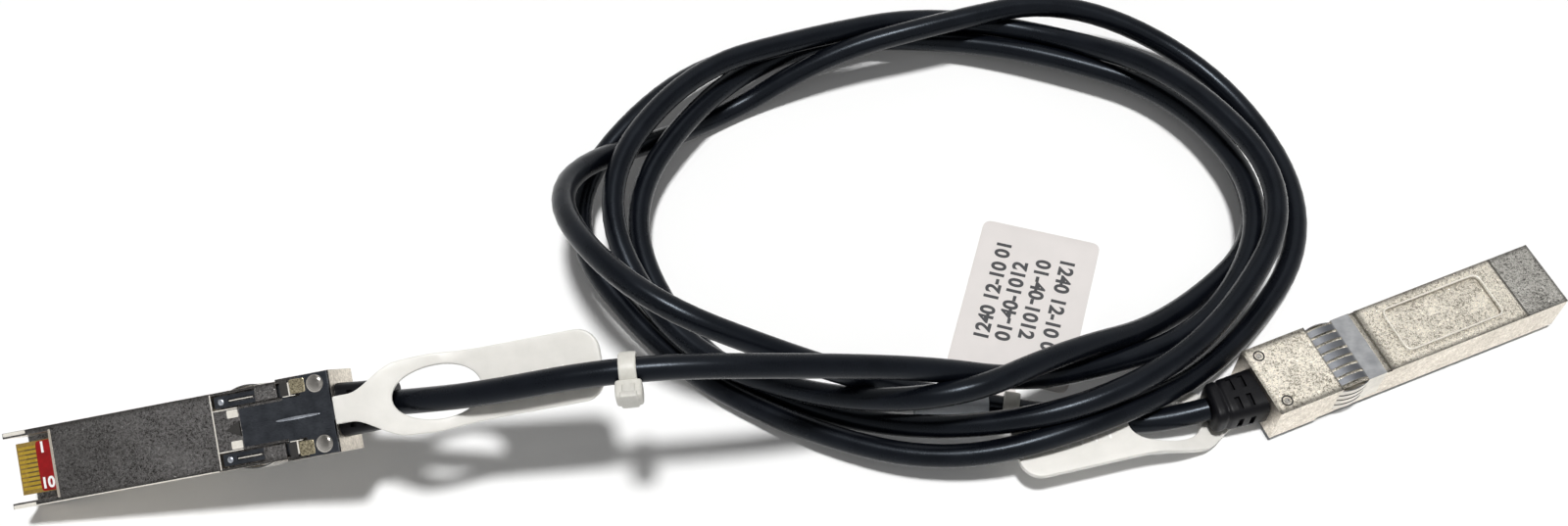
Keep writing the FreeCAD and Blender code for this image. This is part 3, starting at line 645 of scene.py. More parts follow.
# A brighter copy of the tab's nylon for its ribs: painted highlight.
PIP_HIGHLIGHT_NYLON = speckled("pip nylon painted highlight", (0.96, 0.95, 0.91), (0.92, 0.91, 0.86), 1.0, 0.30)
RUBBER = speckled("boot rubber", (0.0045, 0.0045, 0.006), (0.0025, 0.0025, 0.0035), 0.3, 0.36,
                  0.0, 0.015, Specular_IOR_Level=0.13)
TAG_FILM = speckled("tag film", (0.72, 0.68, 0.66), (0.69, 0.655, 0.635), 5.0, 0.42, 0.0, 0.02)
LABEL_FILM = speckled("label film", (0.74, 0.78, 0.82), (0.66, 0.70, 0.745), 2.0, 0.30)

# %% [markdown]
# ## Finishes on the solids of the frame
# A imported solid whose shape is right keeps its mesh, and only its material slots change. The
# castings, the latch and the collar want their edges eased as well, because a real edge always
# catches a thin line of light. For those a copy is merged, bevelled, and stands for the solid.

# %% Eased copies and plain finishes
SOLID_MERGE = 2e-6          # metres: corners of a solid's loose triangles that are one point
FLAT_DEGREES = 0.5          # faces that differ by less are one face
EDGE_DEGREES = 28           # edges sharper than this are eased
LEVEL_ENOUGH = 0.8          # cosine of a face's lean, above which it counts as level


def eased(node, materials, body, width_mm, pick=None):
    """Copy of a solid: merge doubles, dissolve flat faces, bevel edges. pick numbers finishes."""
    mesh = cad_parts[node].data.copy()
    shell = bmesh.new()
    shell.from_mesh(mesh)
    bmesh.ops.remove_doubles(shell, verts=shell.verts, dist=SOLID_MERGE)
    bmesh.ops.dissolve_limit(shell, angle_limit=math.radians(FLAT_DEGREES), verts=shell.verts,
                             edges=shell.edges)
    shell.to_mesh(mesh)
    shell.free()
    mesh.materials.clear()
    for material in materials:
        mesh.materials.append(material)
    mesh.polygons.foreach_set("use_smooth", [False] * len(mesh.polygons))
    if pick is not None:
        normals = np.empty(len(mesh.polygons) * 3)
        mesh.polygons.foreach_get("normal", normals)
        mesh.polygons.foreach_set("material_index", pick(normals.reshape(-1, 3)))
    piece = bpy.data.objects.new(node + "_eased", mesh)
    scene.collection.objects.link(piece)
    bevel = piece.modifiers.new("eased edges", "BEVEL")
    bevel.width = width_mm * MM
    bevel.segments = 2
    bevel.limit_method = "ANGLE"
    bevel.angle_limit = math.radians(EDGE_DEGREES)
    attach(piece, body)
    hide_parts(node)


def refinish(node, material):
    """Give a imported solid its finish."""
    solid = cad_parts[node]
    solid.data.materials.clear()
    solid.data.materials.append(material)


def lit_and_shaded_faces(side):
    """Picks finish 1 for faces that look up in the plug's frame, 2 for down, 0 for its sides: lit and
    shaded copies, painted light and shade.
    """
    origin, tip = to_world(side, [(0, 0, 0), (0, 0, 1)])
    upward = (tip - origin) / MM

    def pick(normals):
        """The lean of a face is its normal dotted with the plug's own upward direction."""
        lean = normals @ upward
        return np.select([lean > LEVEL_ENOUGH, lean < -LEVEL_ENOUGH], [1, 2], 0)

    return pick


for side in SIDES:
    plain, cover, hood, under = [ZINC[side, name] for name in ZINC_TONES]
    collar = COLLAR_STEEL[side]
    # Each face takes its finish by which way it looks in the plug: lit and shaded copies, painted
    # light and shade.
    eased(side + "_base_shell", [plain, hood, under], "cable",
          width_mm=0.12, pick=lit_and_shaded_faces(side))
    eased(side + "_top_cover", [plain, cover, under], "cable",
          width_mm=0.10, pick=lit_and_shaded_faces(side))
    eased(side + "_emi_collar", [COLLAR_LIT_SIDES, collar, collar], "cable",
          width_mm=0.03, pick=lit_and_shaded_faces(side))
    eased(side + "_latch_plate", [LATCH_STEEL], side + "_latch", width_mm=0.07)
    refinish(side + "_circuit_board", BOARD)
    refinish(side + "_contact_pads", GOLD)
    refinish(side + "_wire_pairs", INSULATION)
    refinish(side + "_ferrule", COPPER)
refinish("product_label", LABEL_FILM)

# %% [markdown]
# ## Flat mouldings
# The pull tabs and the tag begin as a plan: an outline, perhaps with a hole. The plan is filled
# with triangles that also pass through a grid of inner points, so that it can bend. A lift then
# gives every plan point its height, Solidify its wall and Bevel its soft edge.

# %% Plates from plans
CLEAR_SHARE = 0.45          # inner points keep this share of their spacing from an outline
PLATE_EDGE_DEGREES = 50
SAME_PLAN_POINT = 1e-6


def inside(points, outline):
    """Even-odd rule: a point is inside if a ray to the right crosses the outline oddly often."""
    x, y = points[:, :1], points[:, 1:]
    x0, y0 = outline[:, 0], outline[:, 1]
    x1, y1 = np.roll(x0, -1), np.roll(y0, -1)
    crosses = (y0 > y) != (y1 > y)
    slope = np.where(y1 == y0, 1.0, y1 - y0)
    return (crosses & (x < (x1 - x0) * (y - y0) / slope + x0)).sum(axis=1) % 2 == 1


def gap_to(points, outline):
    """Distance from each point to the nearest side of an outline."""
    start, side = outline, np.roll(outline, -1, axis=0) - outline
    offset = points[:, None] - start
    share = (offset * side).sum(-1) / np.maximum((side * side).sum(-1), 1e-12)
    foot = offset - np.clip(share, 0, 1)[..., None] * side
    return np.sqrt((foot * foot).sum(-1)).min(axis=1)


def filled_plan(outline, holes, spacing):
    """Plan points and triangles: the outlines' corners and a grid of points well inside them."""
    low, high = outline.min(axis=0), outline.max(axis=0)
    xs = np.arange(low[0] + spacing, high[0], spacing)
    ys = np.arange(low[1] + spacing / 2, high[1], spacing)
    grid = np.stack(np.meshgrid(xs, ys), -1).reshape(-1, 2)
    keep = inside(grid, outline) & (gap_to(grid, outline) > spacing * CLEAR_SHARE)
    for hole in holes:
        keep &= ~inside(grid, hole) & (gap_to(grid, hole) > spacing * CLEAR_SHARE)
    loops, first = [], 0
    for loop in [outline] + holes:
        loops.append(list(range(first, first + len(loop))))
        first += len(loop)
    edges = [(a, b) for loop in loops for a, b in zip(loop, loop[1:] + loop[:1])]
    points = np.vstack([outline] + holes + [grid[keep]])
    result = delaunay_2d_cdt([Vector(point) for point in points], edges, [], 0,
                              SAME_PLAN_POINT)
    plan = np.array([tuple(point) for point in result[0]])
    triangles = np.array([tuple(face) for face in result[2]])
    middles = plan[triangles].mean(axis=1)
    wanted = inside(middles, outline)
    for hole in holes:
        wanted &= ~inside(middles, hole)
    return plan, triangles[wanted]


def plate_piece(name, points, triangles, thickness_mm, edge_mm, material, body):
    """Sheet of points in metres with a wall grown to both sides of it and soft edges."""
    piece = add_piece(name, points, triangles.tolist(), material, body)
    wall = piece.modifiers.new("wall", "SOLIDIFY")
    wall.thickness = thickness_mm * MM
    wall.offset = 0.0
    bevel = piece.modifiers.new("soft edge", "BEVEL")
    bevel.width = edge_mm * MM
    bevel.segments = 3
    bevel.limit_method = "ANGLE"
    bevel.angle_limit = math.radians(PLATE_EDGE_DEGREES)
    return piece


def smooth_step(value):
    """0 below 0, 1 above 1, and three squares minus two cubes between."""
    value = np.clip(value, 0, 1)
    return value * value * (3 - 2 * value)


def rounded_corners(corners, radius, steps=6):
    """Outline whose corners are replaced by quadratic curves that start one radius away."""
    corners = np.array(corners, dtype=float)
    before, after = np.roll(corners, 1, axis=0), np.roll(corners, -1, axis=0)
    start = corners + radius * (before - corners) / np.linalg.norm(before - corners, axis=1)[:, None]
    end = corners + radius * (after - corners) / np.linalg.norm(after - corners, axis=1)[:, None]
    t = np.linspace(0, 1, steps)[:, None]
    curves = [(1 - t) ** 2 * a + 2 * t * (1 - t) * b + t ** 2 * c
              for a, b, c in zip(start, corners, end)]
    return np.vstack(curves)


# %% [markdown]
# ## Pull tabs
# Each latch ends in a nylon tab: a narrow neck under the boot, a ring round the cord, and a flat
# grip with raised ribs. The cord threads the ring and presses the grip away, so the tab climbs
# from the latch's level to the far side of the cord. In plan its half width follows one formula.

# %% Tab plan and bend
TAB_START = 62.8
TAB_END = 109.0
TAB_LOW = -1.2
TAB_WALL = 1.2
TAB_NECK = 2.4              # half width of the neck
TAB_FLARE = 3.8             # what the grip's half width has more
FLARE_START = 65.5
FLARE_LENGTH = 9.0
FLARE_SAMPLED = 75.0        # the outline's points lie closer up to here
BULGE = (0.5, 79.0, 5.0)    # the ring's bulge: height, middle and width
TAB_ROUND = 4.0             # reach of the round end
TAB_BEND_AT = 66.0          # the grip swings sideways about here
RAMP_START = 68.5
RAMP_LENGTH = 16.5
RAMP_RISE = 5.4
HOLE_MIDDLE = 80.2
HOLE_HALVES = (7.3, 4.6)
TAB_SPACING = 1.1
TAB_EDGE = 0.3


def tab_outline():
    """Half width: neck, then a smooth flare to the ring's bulge, the grip, and a round end."""
    round_start = TAB_END - TAB_ROUND
    u = np.concatenate([np.linspace(TAB_START, FLARE_SAMPLED, 26),
                        np.linspace(FLARE_SAMPLED + 0.5, round_start - 0.1, 38),
                        round_start + TAB_ROUND * np.sin(np.linspace(0, np.pi / 2, 12))])
    height, middle, width = BULGE
    bulge = height * np.exp(-((u - middle) / width) ** 2)
    half = TAB_NECK + TAB_FLARE * smooth_step((u - FLARE_START) / FLARE_LENGTH) + bulge
    turn_in = np.clip((u - round_start) / TAB_ROUND, 0, 1)
    half = half - TAB_ROUND * (1 - np.sqrt(1 - turn_in ** 2))
    upper = np.stack([u, half], -1)
    lower = np.stack([u, -half], -1)[::-1]
    return np.vstack([upper, lower])


def tab_hole():
    """Ellipse where the cord comes through."""
    angle = np.linspace(0, 2 * np.pi, 44, endpoint=False)
    return np.stack([HOLE_MIDDLE + HOLE_HALVES[0] * np.cos(angle),
                     HOLE_HALVES[1] * np.sin(angle)], -1)


def tab_lift(u):
    """Height of the tab's middle plane: level, up a smooth ramp, level again."""
    return TAB_LOW + TAB_WALL / 2 + RAMP_RISE * smooth_step((u - RAMP_START) / RAMP_LENGTH)


def swung(side, u, v, z):
    """Tab points in the frame: the grip swings sideways about the bend, then all is placed."""
    angle = math.radians(TAB_SWINGS[side]) * (u > TAB_BEND_AT - 1.0)
    x = TAB_BEND_AT + (u - TAB_BEND_AT) * np.cos(angle) - v * np.sin(angle)
    y = (u - TAB_BEND_AT) * np.sin(angle) + v * np.cos(angle)
    return to_world(side, np.stack([x, y, z], -1))


RIB_START = 91.5
RIB_STEP = 2.7
RIB_PLACES = [(RIB_START + RIB_STEP * i, 0.6, 0.0) for i in range(5)]
RIB_SIZE = (1.24, 4.4, TAB_WALL + 0.36)


def tab_pieces(side):
    """The tab's plate, and its ribs, which stand out a little on both faces in a brighter nylon:
    painted highlight.
    """
    latch = side + "_latch"
    plan, triangles = filled_plan(tab_outline(), [tab_hole()], TAB_SPACING)
    points = swung(side, plan[:, 0], plan[:, 1], tab_lift(plan[:, 0]))
    tab = plate_piece(side + "_tab_moulding", points, triangles, TAB_WALL, TAB_EDGE, NYLON,
                      latch)
    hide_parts(side + "_pull_tab")
    ribs, faces = domes(RIB_SIZE, RIB_PLACES, steps=16)
    ribs = swung(side, ribs[:, 0], ribs[:, 1], ribs[:, 2] + tab_lift(ribs[:, 0]))
    outward(add_piece(side + "_tab_ribs", ribs, faces, PIP_HIGHLIGHT_NYLON, latch))
    print(side, "tab:", len(plan), "plan points,", len(triangles), "triangles")


for side in SIDES:
    tab_pieces(side)

# %% [markdown]
# ## Boots
# Where the cord leaves a plug it wears a black moulded boot, nearly as tall as the plug, with a
# step to a collar at its end. Rows of slots let it bend. The body is a rounded rectangle carried
# along a leaning line, and its size is a function of the distance along it.

# %% Boot sweep
SHARP_DEGREES = 40          # edges sharper than this show, and the rest shade smoothly
BOOT_LENGTH = 9.5
BOOT_START = (9.4, 7.4)
BOOT_END = (8.2, 6.6)
GROOVE = (0.07, 0.74, 0.035)        # depth, middle and width, as shares of size and length
ROLL = (0.30, 0.9, 0.1)             # the rolled end's depth, start and length
SLOTS_ALONG = (2.6, 4.9)
LEVEL_SLOT = (1.0, 2.5, 2.2)        # size of each slot in the top and the bottom
SIDE_SLOT = (1.0, 2.4, 2.8)


def boot_scale(t):
    """Size factor along the boot: a shallow groove, a collar, and a rolled end."""
    depth, middle, width = GROOVE
    groove = depth * np.exp(-((t - middle) / width) ** 2)
    depth, start, length = ROLL
    past = np.clip((t - start) / length, 0, 1)
    return 1 - groove - depth * (1 - np.sqrt(1 - past ** 2))


def boot_mesh(side, rows=48, columns=48):
    """Superellipse of power 4 whose size and heading change evenly from the plug outwards."""
    t, angle = np.meshgrid(np.linspace(0, 1, rows),
                           np.linspace(0, 2 * np.pi, columns, endpoint=False), indexing="ij")
    width, height = [(start + (end - start) * t) * boot_scale(t) / 2
                     for start, end in zip(BOOT_START, BOOT_END)]
    width = width * signed_power(np.cos(angle), 0.5)
    height = height * signed_power(np.sin(angle), 0.5)
    bend = math.radians(BOOT_BENDS[side])
    x = PLUG_REAR + BOOT_LENGTH * t * math.cos(bend / 2) - width * np.sin(bend * t)
    y = BOOT_LENGTH * t * math.sin(bend / 2) + width * np.cos(bend * t)
    points = np.stack([x, y, CORD_HEIGHT + height], -1)
    return points.reshape(-1, 3), grid_faces(rows, columns) + end_faces(rows, columns)


def slot_cutters():
    """Boxes for two rows of slots: each row has two in the top, two below and one a side."""
    box = np.array([(x, y, z) for x in (-1, 1) for y in (-1, 1) for z in (-1, 1)]) / 2
    faces = [(0, 1, 3, 2), (4, 6, 7, 5), (0, 4, 5, 1), (2, 3, 7, 6), (0, 2, 6, 4), (1, 5, 7, 3)]
    cuts = []
    for along in SLOTS_ALONG:
        cuts += [((along, out * 1.95, up * 3.9), LEVEL_SLOT) for up in (-1, 1) for out in (-1, 1)]
        cuts += [((along, out * 5.0, 0.0), SIDE_SLOT) for out in (-1, 1)]
    return joined([(box * size + place, faces) for place, size in cuts])


def boot_piece(side):
    """Boot with its slots cut by a Boolean that is applied at once."""
    points, faces = boot_mesh(side)
    boot = outward(add_piece(side + "_boot_moulding", to_world(side, points), faces, RUBBER,
                             "cable"))
    points, faces = slot_cutters()
    points = points @ turn("Z", BOOT_BENDS[side] / 2).T + (PLUG_REAR, 0, CORD_HEIGHT)
    cutter = outward(add_piece(side + "_slots", to_world(side, points), faces, RUBBER, "cable",
                               smooth=False))
    cut = boot.modifiers.new("slots", "BOOLEAN")
    cut.operation = "DIFFERENCE"
    cut.solver = "EXACT"
    cut.object = cutter
    graph = bpy.context.evaluated_depsgraph_get()
    result = bpy.data.meshes.new_from_object(boot.evaluated_get(graph))
    boot.modifiers.clear()
    boot.data = result
    bpy.data.objects.remove(cutter)
    boot.data.set_sharp_from_angle(angle=math.radians(SHARP_DEGREES))
    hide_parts(side + "_boot")
    print(side, "boot:", len(result.polygons), "faces")


for side in SIDES:
    boot_piece(side)

# %% [markdown]
# ## Cable ties
# Two nylon ties grip the cord: one near the left tab, with its ratchet head hanging on the near
# side, and one that holds the marker tag. A strap is a rounded rectangle carried round a circle,
# square to the cord's own line, whose direction is read from the spline.

# %% Ties
CORD_RADIUS = CORD_DIAMETER / MM / 2
TIE_WIDTH = 3.0
TIE_WALL = 1.0
HEAD_AWAY = CORD_RADIUS + 2.0       # from the cord's line to the middle of the head
HEAD_BLOCKS = [                     # size and place of the head, the strap's tail and the lock
    ((4.6, 3.4, 3.8), (0, -HEAD_AWAY, 0)),
    ((2.4, 2.2, 5.2), (0, -HEAD_AWAY - 0.3, -0.5)),
    ((3.1, 1.2, 4.3), (0, -HEAD_AWAY - 1.3, 0)),
]
CABLE_TIE_PLACE = (-30.6, -13.8, 35.1)
TAG_TIE_PLACE = (37.0, -4.6, 3.5)
PRESSED = 0.05              # the floor presses a strap flat, and it sinks in no deeper than this


def cord_frame(near):
    """Nearest point of the cord's line to a place, with along, level and upward directions."""
    gaps = np.linalg.norm(cord_line - np.array(near) * MM, axis=1)
    i = int(np.argmin(gaps[1:-1])) + 1
    along = cord_line[i + 1] - cord_line[i - 1]
    along = along / np.linalg.norm(along)
    level = np.cross((0, 0, 1), along)
    level = level / np.linalg.norm(level)
    return cord_line[i], np.stack([along, level, np.cross(along, level)])


def strap_mesh(rows=48, columns=20):
    """Strap: a superellipse of power 5, of the strap's width and wall, carried round the cord."""
    angle, around = np.meshgrid(np.linspace(0, 2 * np.pi, rows, endpoint=False),
                                np.linspace(0, 2 * np.pi, columns, endpoint=False), indexing="ij")
    x = TIE_WIDTH / 2 * signed_power(np.cos(around), 0.4)
    wall = TIE_WALL / 2 * signed_power(np.sin(around), 0.4)
    radius = CORD_RADIUS + TIE_WALL / 2 + wall
    points = np.stack([x, radius * np.cos(angle), radius * np.sin(angle)], -1)
    return points.reshape(-1, 3), grid_faces(rows, columns, closed_rows=True)


def tie_piece(name, node, near, with_head):
    """One tie at a place on the cord: its strap, with or without a head and a tail."""
    middle, axes = cord_frame(near)
    parts = [strap_mesh()]
    for size, place in HEAD_BLOCKS if with_head else []:
        box, faces = rounded_box(size)
        parts.append((box + place, faces))
    points, faces = joined(parts)
    placed = middle + points @ axes * MM
    placed[:, 2] = np.maximum(placed[:, 2], -PRESSED * MM)
    tie = outward(add_piece(name, placed, faces, TIE_NYLON, "cable"))
    tie.data.set_sharp_from_angle(angle=math.radians(SHARP_DEGREES))
    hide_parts(node)
    print(name, "round the cord at", middle.round(4).tolist())
    return tie


cable_tie = tie_piece("cable_tie_nylon", "cable_tie", CABLE_TIE_PLACE, True)
tag_tie = tie_piece("tag_tie_nylon", "tag_tie", TAG_TIE_PLACE, False)

# %% [markdown]
# ## Marker tag
# A stiff white tag lies on the floor inside the coil, with a tail that runs under its tie. It has
# round corners and a slight curl. Its printed rows hold plain numbers only.

# %% Tag and numbers
TAG_CORNER = np.array([35.9, 39.4, 0.0])
TAG_DIRECTION = -105.8
TAG_SIZE = (34.0, 23.3)
TAG_WALL = 0.6
TAG_EDGE = 0.15
TAG_CURL = 0.9
CURL_NEAR, CURL_MORE = 0.35, 0.65   # its share at one long edge, and what the other has more
TAG_ROUNDING = 1.8
TAG_SPACING = 1.6
TAIL_CORNERS = [(34.5, -5.6), (39.5, -5.6), (39.5, 6.4), (34.5, 6.4)]
TAIL_ROUNDING = 0.8
INK_HEIGHT = 0.03
BOLDNESS = 0.05             # what a stroke gains, as a share of the digits' height
FONT_SHARE = 1.4            # font size as a share of the digits' height


def on_tag(points):
    """Tag points, along and across it, turned and moved to where it lies, in metres."""
    return (np.asarray(points) @ turn("Z", TAG_DIRECTION).T + TAG_CORNER) * MM


def tag_lift(x, y):
    """Slight curl: the far corners rise by a square of their distance from the tied end."""
    far = np.clip(1 - x / TAG_SIZE[0], 0, 1)
    return TAG_WALL / 2 + TAG_CURL * far ** 2 * (CURL_NEAR + CURL_MORE * (y / TAG_SIZE[1]))


def tag_piece():
    """The tag's rounded plate, and its tail strip, as two plans in one mesh."""
    length, width = TAG_SIZE
    corners = [(0, 0), (length, 0), (length, width), (0, width)]
    plan, triangles = filled_plan(rounded_corners(corners, TAG_ROUNDING), [], TAG_SPACING)
    plate = on_tag(np.column_stack([plan, tag_lift(plan[:, 0], plan[:, 1])]))
    tail_plan, tail_triangles = filled_plan(rounded_corners(TAIL_CORNERS, TAIL_ROUNDING), [],
                                            TAG_SPACING)
    tail = np.column_stack([tail_plan, np.full(len(tail_plan), TAG_WALL / 2)]) * MM
    points = np.vstack([plate, tail])
    faces = np.vstack([triangles, tail_triangles + len(plate)])
    tag = plate_piece("marker_tag_plate", points, faces, TAG_WALL, TAG_EDGE, TAG_FILM, "cable")
    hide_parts("marker_tag")
    return tag


def number_mesh(text, height_mm):
    """Plain digits as a thin mesh centred on the origin, in millimetres."""
    curve = bpy.data.curves.new("digits", "FONT")
    curve.body = text
    curve.size = height_mm * FONT_SHARE
    curve.align_x = "CENTER"
    curve.align_y = "CENTER"
    curve.extrude = INK_HEIGHT / 2
    curve.offset = height_mm * BOLDNESS
    holder = bpy.data.objects.new("digits", curve)
    scene.collection.objects.link(holder)
    bpy.context.view_layer.update()
    mesh = bpy.data.meshes.new_from_object(
        holder.evaluated_get(bpy.context.evaluated_depsgraph_get()))
    points = np.array([tuple(v.co) for v in mesh.vertices])
    faces = [list(face.vertices) for face in mesh.polygons]
    bpy.data.objects.remove(holder)
    bpy.data.meshes.remove(mesh)
    return points, faces


def printed_numbers(name, rows, to_frame, material):
    """Several rows of digits as one piece: each row is text, height, place and turn."""
    parts = []
    for text, height, place, degrees in rows:
        points, faces = number_mesh(text, height)
        parts.append((points @ turn("Z", degrees).T + place, faces))
    points, faces = joined(parts)
    return outward(add_piece(name, to_frame(points), faces, material, "cable", False))


def tag_ink(points):
    """Ink on the tag's top face, at the tag's own height."""
    top = tag_lift(points[:, 0], points[:, 1]) + TAG_WALL / 2 + points[:, 2]
    return on_tag(np.column_stack([points[:, :2], top]))


tag = tag_piece()
TAG_ROWS = [("1240 12-10 01", 2.8, (15.5, 5.2, 0), 180), ("01-40-1012", 2.8, (17.0, 9.2, 0), 180),
            ("01-40-1012", 2.8, (15.5, 13.2, 0), 0), ("1240 12-10 01", 2.8, (16.5, 17.7, 0), 0)]
TAG_INK = speckled("tag ink", (0.045, 0.045, 0.05), (0.02, 0.02, 0.022), 0.3, 0.5)
numbers = printed_numbers("tag_numbers", TAG_ROWS, tag_ink, TAG_INK)

# %% [markdown]
# ## Small things on the plugs
# The card wears a red mask behind its contacts, with the first and the last contact numbered, and
# painted shade in the gaps between the contacts. The castings have a bright lip, pale bars of painted
# highlight along their edges and round the window, dark rings of painted shade round the pins, and a
# pale rim of painted highlight round the label's place. The latch has dimples and a stiffening ridge
# in a brighter steel that paints their highlight, pale lines of painted highlight, slots of painted
# shade, blocks and two rivets. All are too fine for the solids, so they are bars, domes and wires
# laid on the faces, in the plug's millimetres.

# %% Shapes of small things
CARD_FACE = 2.25            # height of the card's underside
PRINT_AWAY = 0.10           # the numbers stand this far below it


def under_card(side):
    """Print on the card's underside: the plug's X stays, Y and Z turn over."""
    def place(points):
        """The card's points turned about X and carried to the underside."""
        flat = points * (1, -1, -1) + (0, 0, CARD_FACE - PRINT_AWAY)
        return to_world(side, flat)

    return place


def loop_wire(outline, height, wire, columns=8):
    """Round wire laid along a closed outline at one height: sideways and upward circle parts."""
    ahead = np.roll(outline, -1, axis=0) - np.roll(outline, 1, axis=0)
    ahead = ahead / np.linalg.norm(ahead, axis=1)[:, None]
    around = np.linspace(0, 2 * np.pi, columns, endpoint=False)
    out = wire * np.cos(around)[None, :, None] * np.stack([ahead[:, 1], -ahead[:, 0]], -1)[:, None]
    level = outline[:, None] + out
    up = np.broadcast_to(height + wire * np.sin(around), level.shape[:2])
    points = np.concatenate([level, up[..., None]], -1).reshape(-1, 3)
    return points, grid_faces(len(outline), columns, closed_rows=True)


def circle(middle, radius, steps=32):
    """Outline of a circle: its middle plus the radius times a cosine and a sine."""
    angle = np.linspace(0, 2 * np.pi, steps, endpoint=False)
    return np.array(middle) + radius * np.stack([np.cos(angle), np.sin(angle)], -1)


def rounded_bars(corners):
    """Rounded bars as one mesh, each from its low to its high corner."""
    parts = []
    for low, high in np.array(corners):
        points, faces = rounded_box(high - low, power=10.0)
        parts.append((points + (low + high) / 2, faces))
    return joined(parts)


def both_ways(bars):
    """Each bar, and its copy mirrored across the plug's middle."""
    return bars + [((a[0], -b[1], a[2]), (b[0], -a[1], b[2])) for a, b in bars]


def plug_piece(side, name, mesh, material, body, smooth=True):
    """A mesh in a plug's millimetres as a piece of that plug, with its faces outward."""
    points, faces = mesh
    return outward(add_piece(side + name, to_world(side, points), faces, material, body,
                             smooth))


# %% [markdown]
# Every bar below is a low and a high corner. A bar that both sides have is given once, and its
# copy on the other side is added. Heights are near 0 on the shells' underside and below 0 on the
# latch. Each printed number is a text, a height, a place and a turn.

# %% Card, shells and latch
SKIN = (CARD_FACE - 0.09, CARD_FACE + 0.02)     # low and high side of mask and gaps
CONTACT_PITCH = 0.8
GAP_HALF = 0.07
MASK_BAR = ((4.55, -4.5, SKIN[0]), (8.75, 4.5, SKIN[1]))
CONTACT_NUMBERS = [("1", 1.9, (5.85, 3.2, 0), 0), ("10", 1.9, (6.0, -3.15, 0), 0)]
# Dark bars in the gaps between contacts: painted shade.
CONTACT_GAPS = [((2.4, y - GAP_HALF, SKIN[0]), (4.6, y + GAP_HALF, SKIN[1]))
                for y in CONTACT_PITCH * np.arange(-4, 5)]
MOUTH_LIP = ((8.8, -6.1, -0.04), (9.3, 6.1, 0.3))
# Pale bars along the cover's edge and the prongs, and round the window: painted highlight.
EDGE_HIGHLIGHT_BAR = ((0.1, 6.60, -0.04), (39.9, 6.79, 0.14))
PRONG_HIGHLIGHT_BAR = ((0.1, 6.1, -0.04), (4.5, 6.72, 0.1))
WINDOW_FRONT = ((40.08, -6.6, -0.10), (40.28, 6.6, 0.05))
WINDOW_SIDES = [((40.3, 3.52, -0.10), (44.9, 3.7, 0.05)), ((42.8, 2.0, -0.07), (44.9, 3.4, 0.03))]
BOSS_HEIGHTS = (-0.47, -0.05)
BOSS_PLAN = [(42.36, 0.0), (45.02, -1.33), (45.02, 1.33)]
BOSS_FACES = [(0, 2, 1), (3, 4, 5), (0, 1, 4, 3), (1, 2, 5, 4), (2, 0, 3, 5)]
LABEL_CORNERS = [(13.0, -4.65), (34.0, -4.65), (34.0, 4.65), (13.0, 4.65)]
LABEL_RIM = {"height": 9.15, "wire": 0.16}
LABEL_ROUNDING = 1.5
PIN_PLACES = [(60.0, -5.0), (60.0, 5.0)]
PIN_RADIUS = 0.95
PIN_RING = {"height": 9.2, "wire": 0.15, "columns": 10}
DIMPLE_SIZE = (1.2, 1.2, 0.44)
DIMPLE_PLACES = [(41.9, -5.03, 0.40), (41.9, 5.03, 0.40)]
RIVET_SIZE = (3.2, 3.2, 1.06)
RIVET_PLACES = [(60.0, -5.2, -0.72), (60.0, 5.2, -0.72)]
RIDGE_SIZE = (9.2, 0.64, 0.48)
RIDGE_PLACE = (55.6, 0, -0.85)
ARM_LINES = [((43.4, 4.95, 0.30), (47.9, 5.11, 0.5)), ((55.1, 3.9, -0.9), (55.35, 6.2, -0.3)),
             ((53.9, 3.8, -0.88), (56.2, 3.95, -0.3))]
LATCH_SLOT = ((53.6, 3.97, -0.86), (55.08, 6.6, -0.3))
LATCH_BLOCK = ((55.4, 4.1, -0.86), (58.2, 6.6, -0.1))


def dress_card(side):
    """Red mask, the numbers of the first and last contact, and painted shade in the gaps between
    contacts.
    """
    plug_piece(side, "_red_mask", rounded_bars([MASK_BAR]), RED_MASK, "cable",
               False)
    printed_numbers(side + "_contact_numbers", CONTACT_NUMBERS, under_card(side), INK)
    plug_piece(side, "_pad_gaps", rounded_bars(CONTACT_GAPS), GAP_SHADE, "cable",
               False)


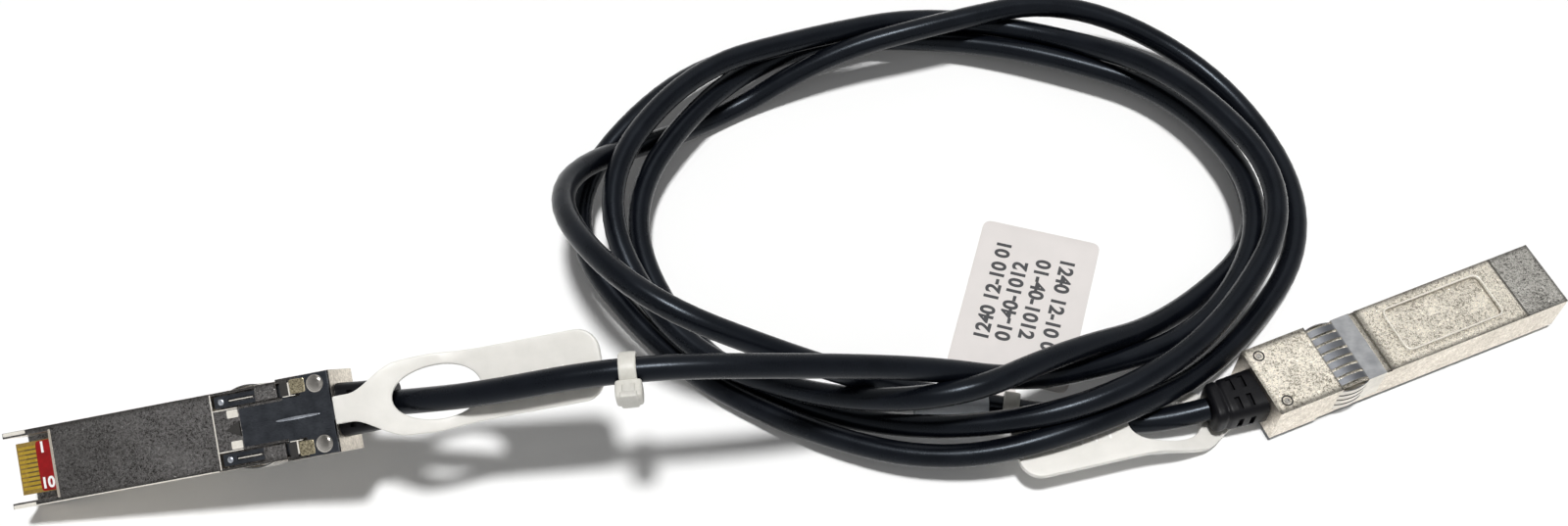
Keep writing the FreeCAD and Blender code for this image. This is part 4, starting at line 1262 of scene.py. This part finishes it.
def dress_shells(side):
    """Lip of the mouth, painted highlights along the edges, round the window and on the label's rim,
    and painted shade on the boss and in the pin rings.
    """
    def bars(name, corners, material):
        """Bars on the shells: plated metal, or pale painted highlight."""
        plug_piece(side, name, rounded_bars(corners), material, "cable", False)

    bars("_mouth_lip", [MOUTH_LIP], ZINC[side, "zinc"])
    bars("_edge_beads", both_ways([PRONG_HIGHLIGHT_BAR]) + [EDGE_HIGHLIGHT_BAR], EDGE_HIGHLIGHT)
    bars("_window_rims", [WINDOW_FRONT] + both_ways(WINDOW_SIDES), EDGE_HIGHLIGHT)
    # The boss and the rings round the pins are black: painted shade.
    boss = np.array([(*corner, z) for z in BOSS_HEIGHTS for corner in BOSS_PLAN])
    plug_piece(side, "_boss_skin", (boss, BOSS_FACES), SHADE_BLACK, "cable", False)
    rings = joined([loop_wire(circle(place, PIN_RADIUS), **PIN_RING) for place in PIN_PLACES])
    plug_piece(side, "_pin_rings", rings, SHADE_BLACK, "cable")
    # The label's rim is pale: painted highlight.
    rim = loop_wire(rounded_corners(LABEL_CORNERS, LABEL_ROUNDING), **LABEL_RIM)
    plug_piece(side, "_label_rim", rim, EDGE_HIGHLIGHT, "cable")


def dress_latch(side):
    """Dimples in the arms and the ridge with painted highlight, the rivets' domes, pale lines of
    painted highlight, slots of painted shade, and blocks.
    """
    def latch_piece(name, mesh, material, smooth=True):
        """A piece that slides with the latch."""
        return plug_piece(side, name, mesh, material, side + "_latch", smooth)

    latch_piece("_arm_dimples", domes(DIMPLE_SIZE, DIMPLE_PLACES, steps=20), RIDGE_HIGHLIGHT_STEEL)
    latch_piece("_latch_ridge", domes(RIDGE_SIZE, [RIDGE_PLACE], steps=32), RIDGE_HIGHLIGHT_STEEL)
    rivets = latch_piece("_rivet_domes", domes(RIVET_SIZE, RIVET_PLACES, steps=32), RIVET_STEEL)
    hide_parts(side + "_latch_rivets")
    latch_piece("_arm_lines", rounded_bars(both_ways(ARM_LINES)), EDGE_HIGHLIGHT, smooth=False)
    latch_piece("_latch_slots", rounded_bars(both_ways([LATCH_SLOT])), SHADE_BLACK, smooth=False)
    latch_piece("_latch_blocks", rounded_bars(both_ways([LATCH_BLOCK])), BRASSY, smooth=False)


for side in SIDES:
    dress_card(side)
    dress_shells(side)
    dress_latch(side)
print("small things are on both plugs")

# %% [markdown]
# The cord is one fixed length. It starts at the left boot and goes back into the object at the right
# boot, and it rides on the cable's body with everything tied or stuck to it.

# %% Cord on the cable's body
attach(cord, "cable")
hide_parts("cable_left_lead", "cable_coil", "cable_right_lead")
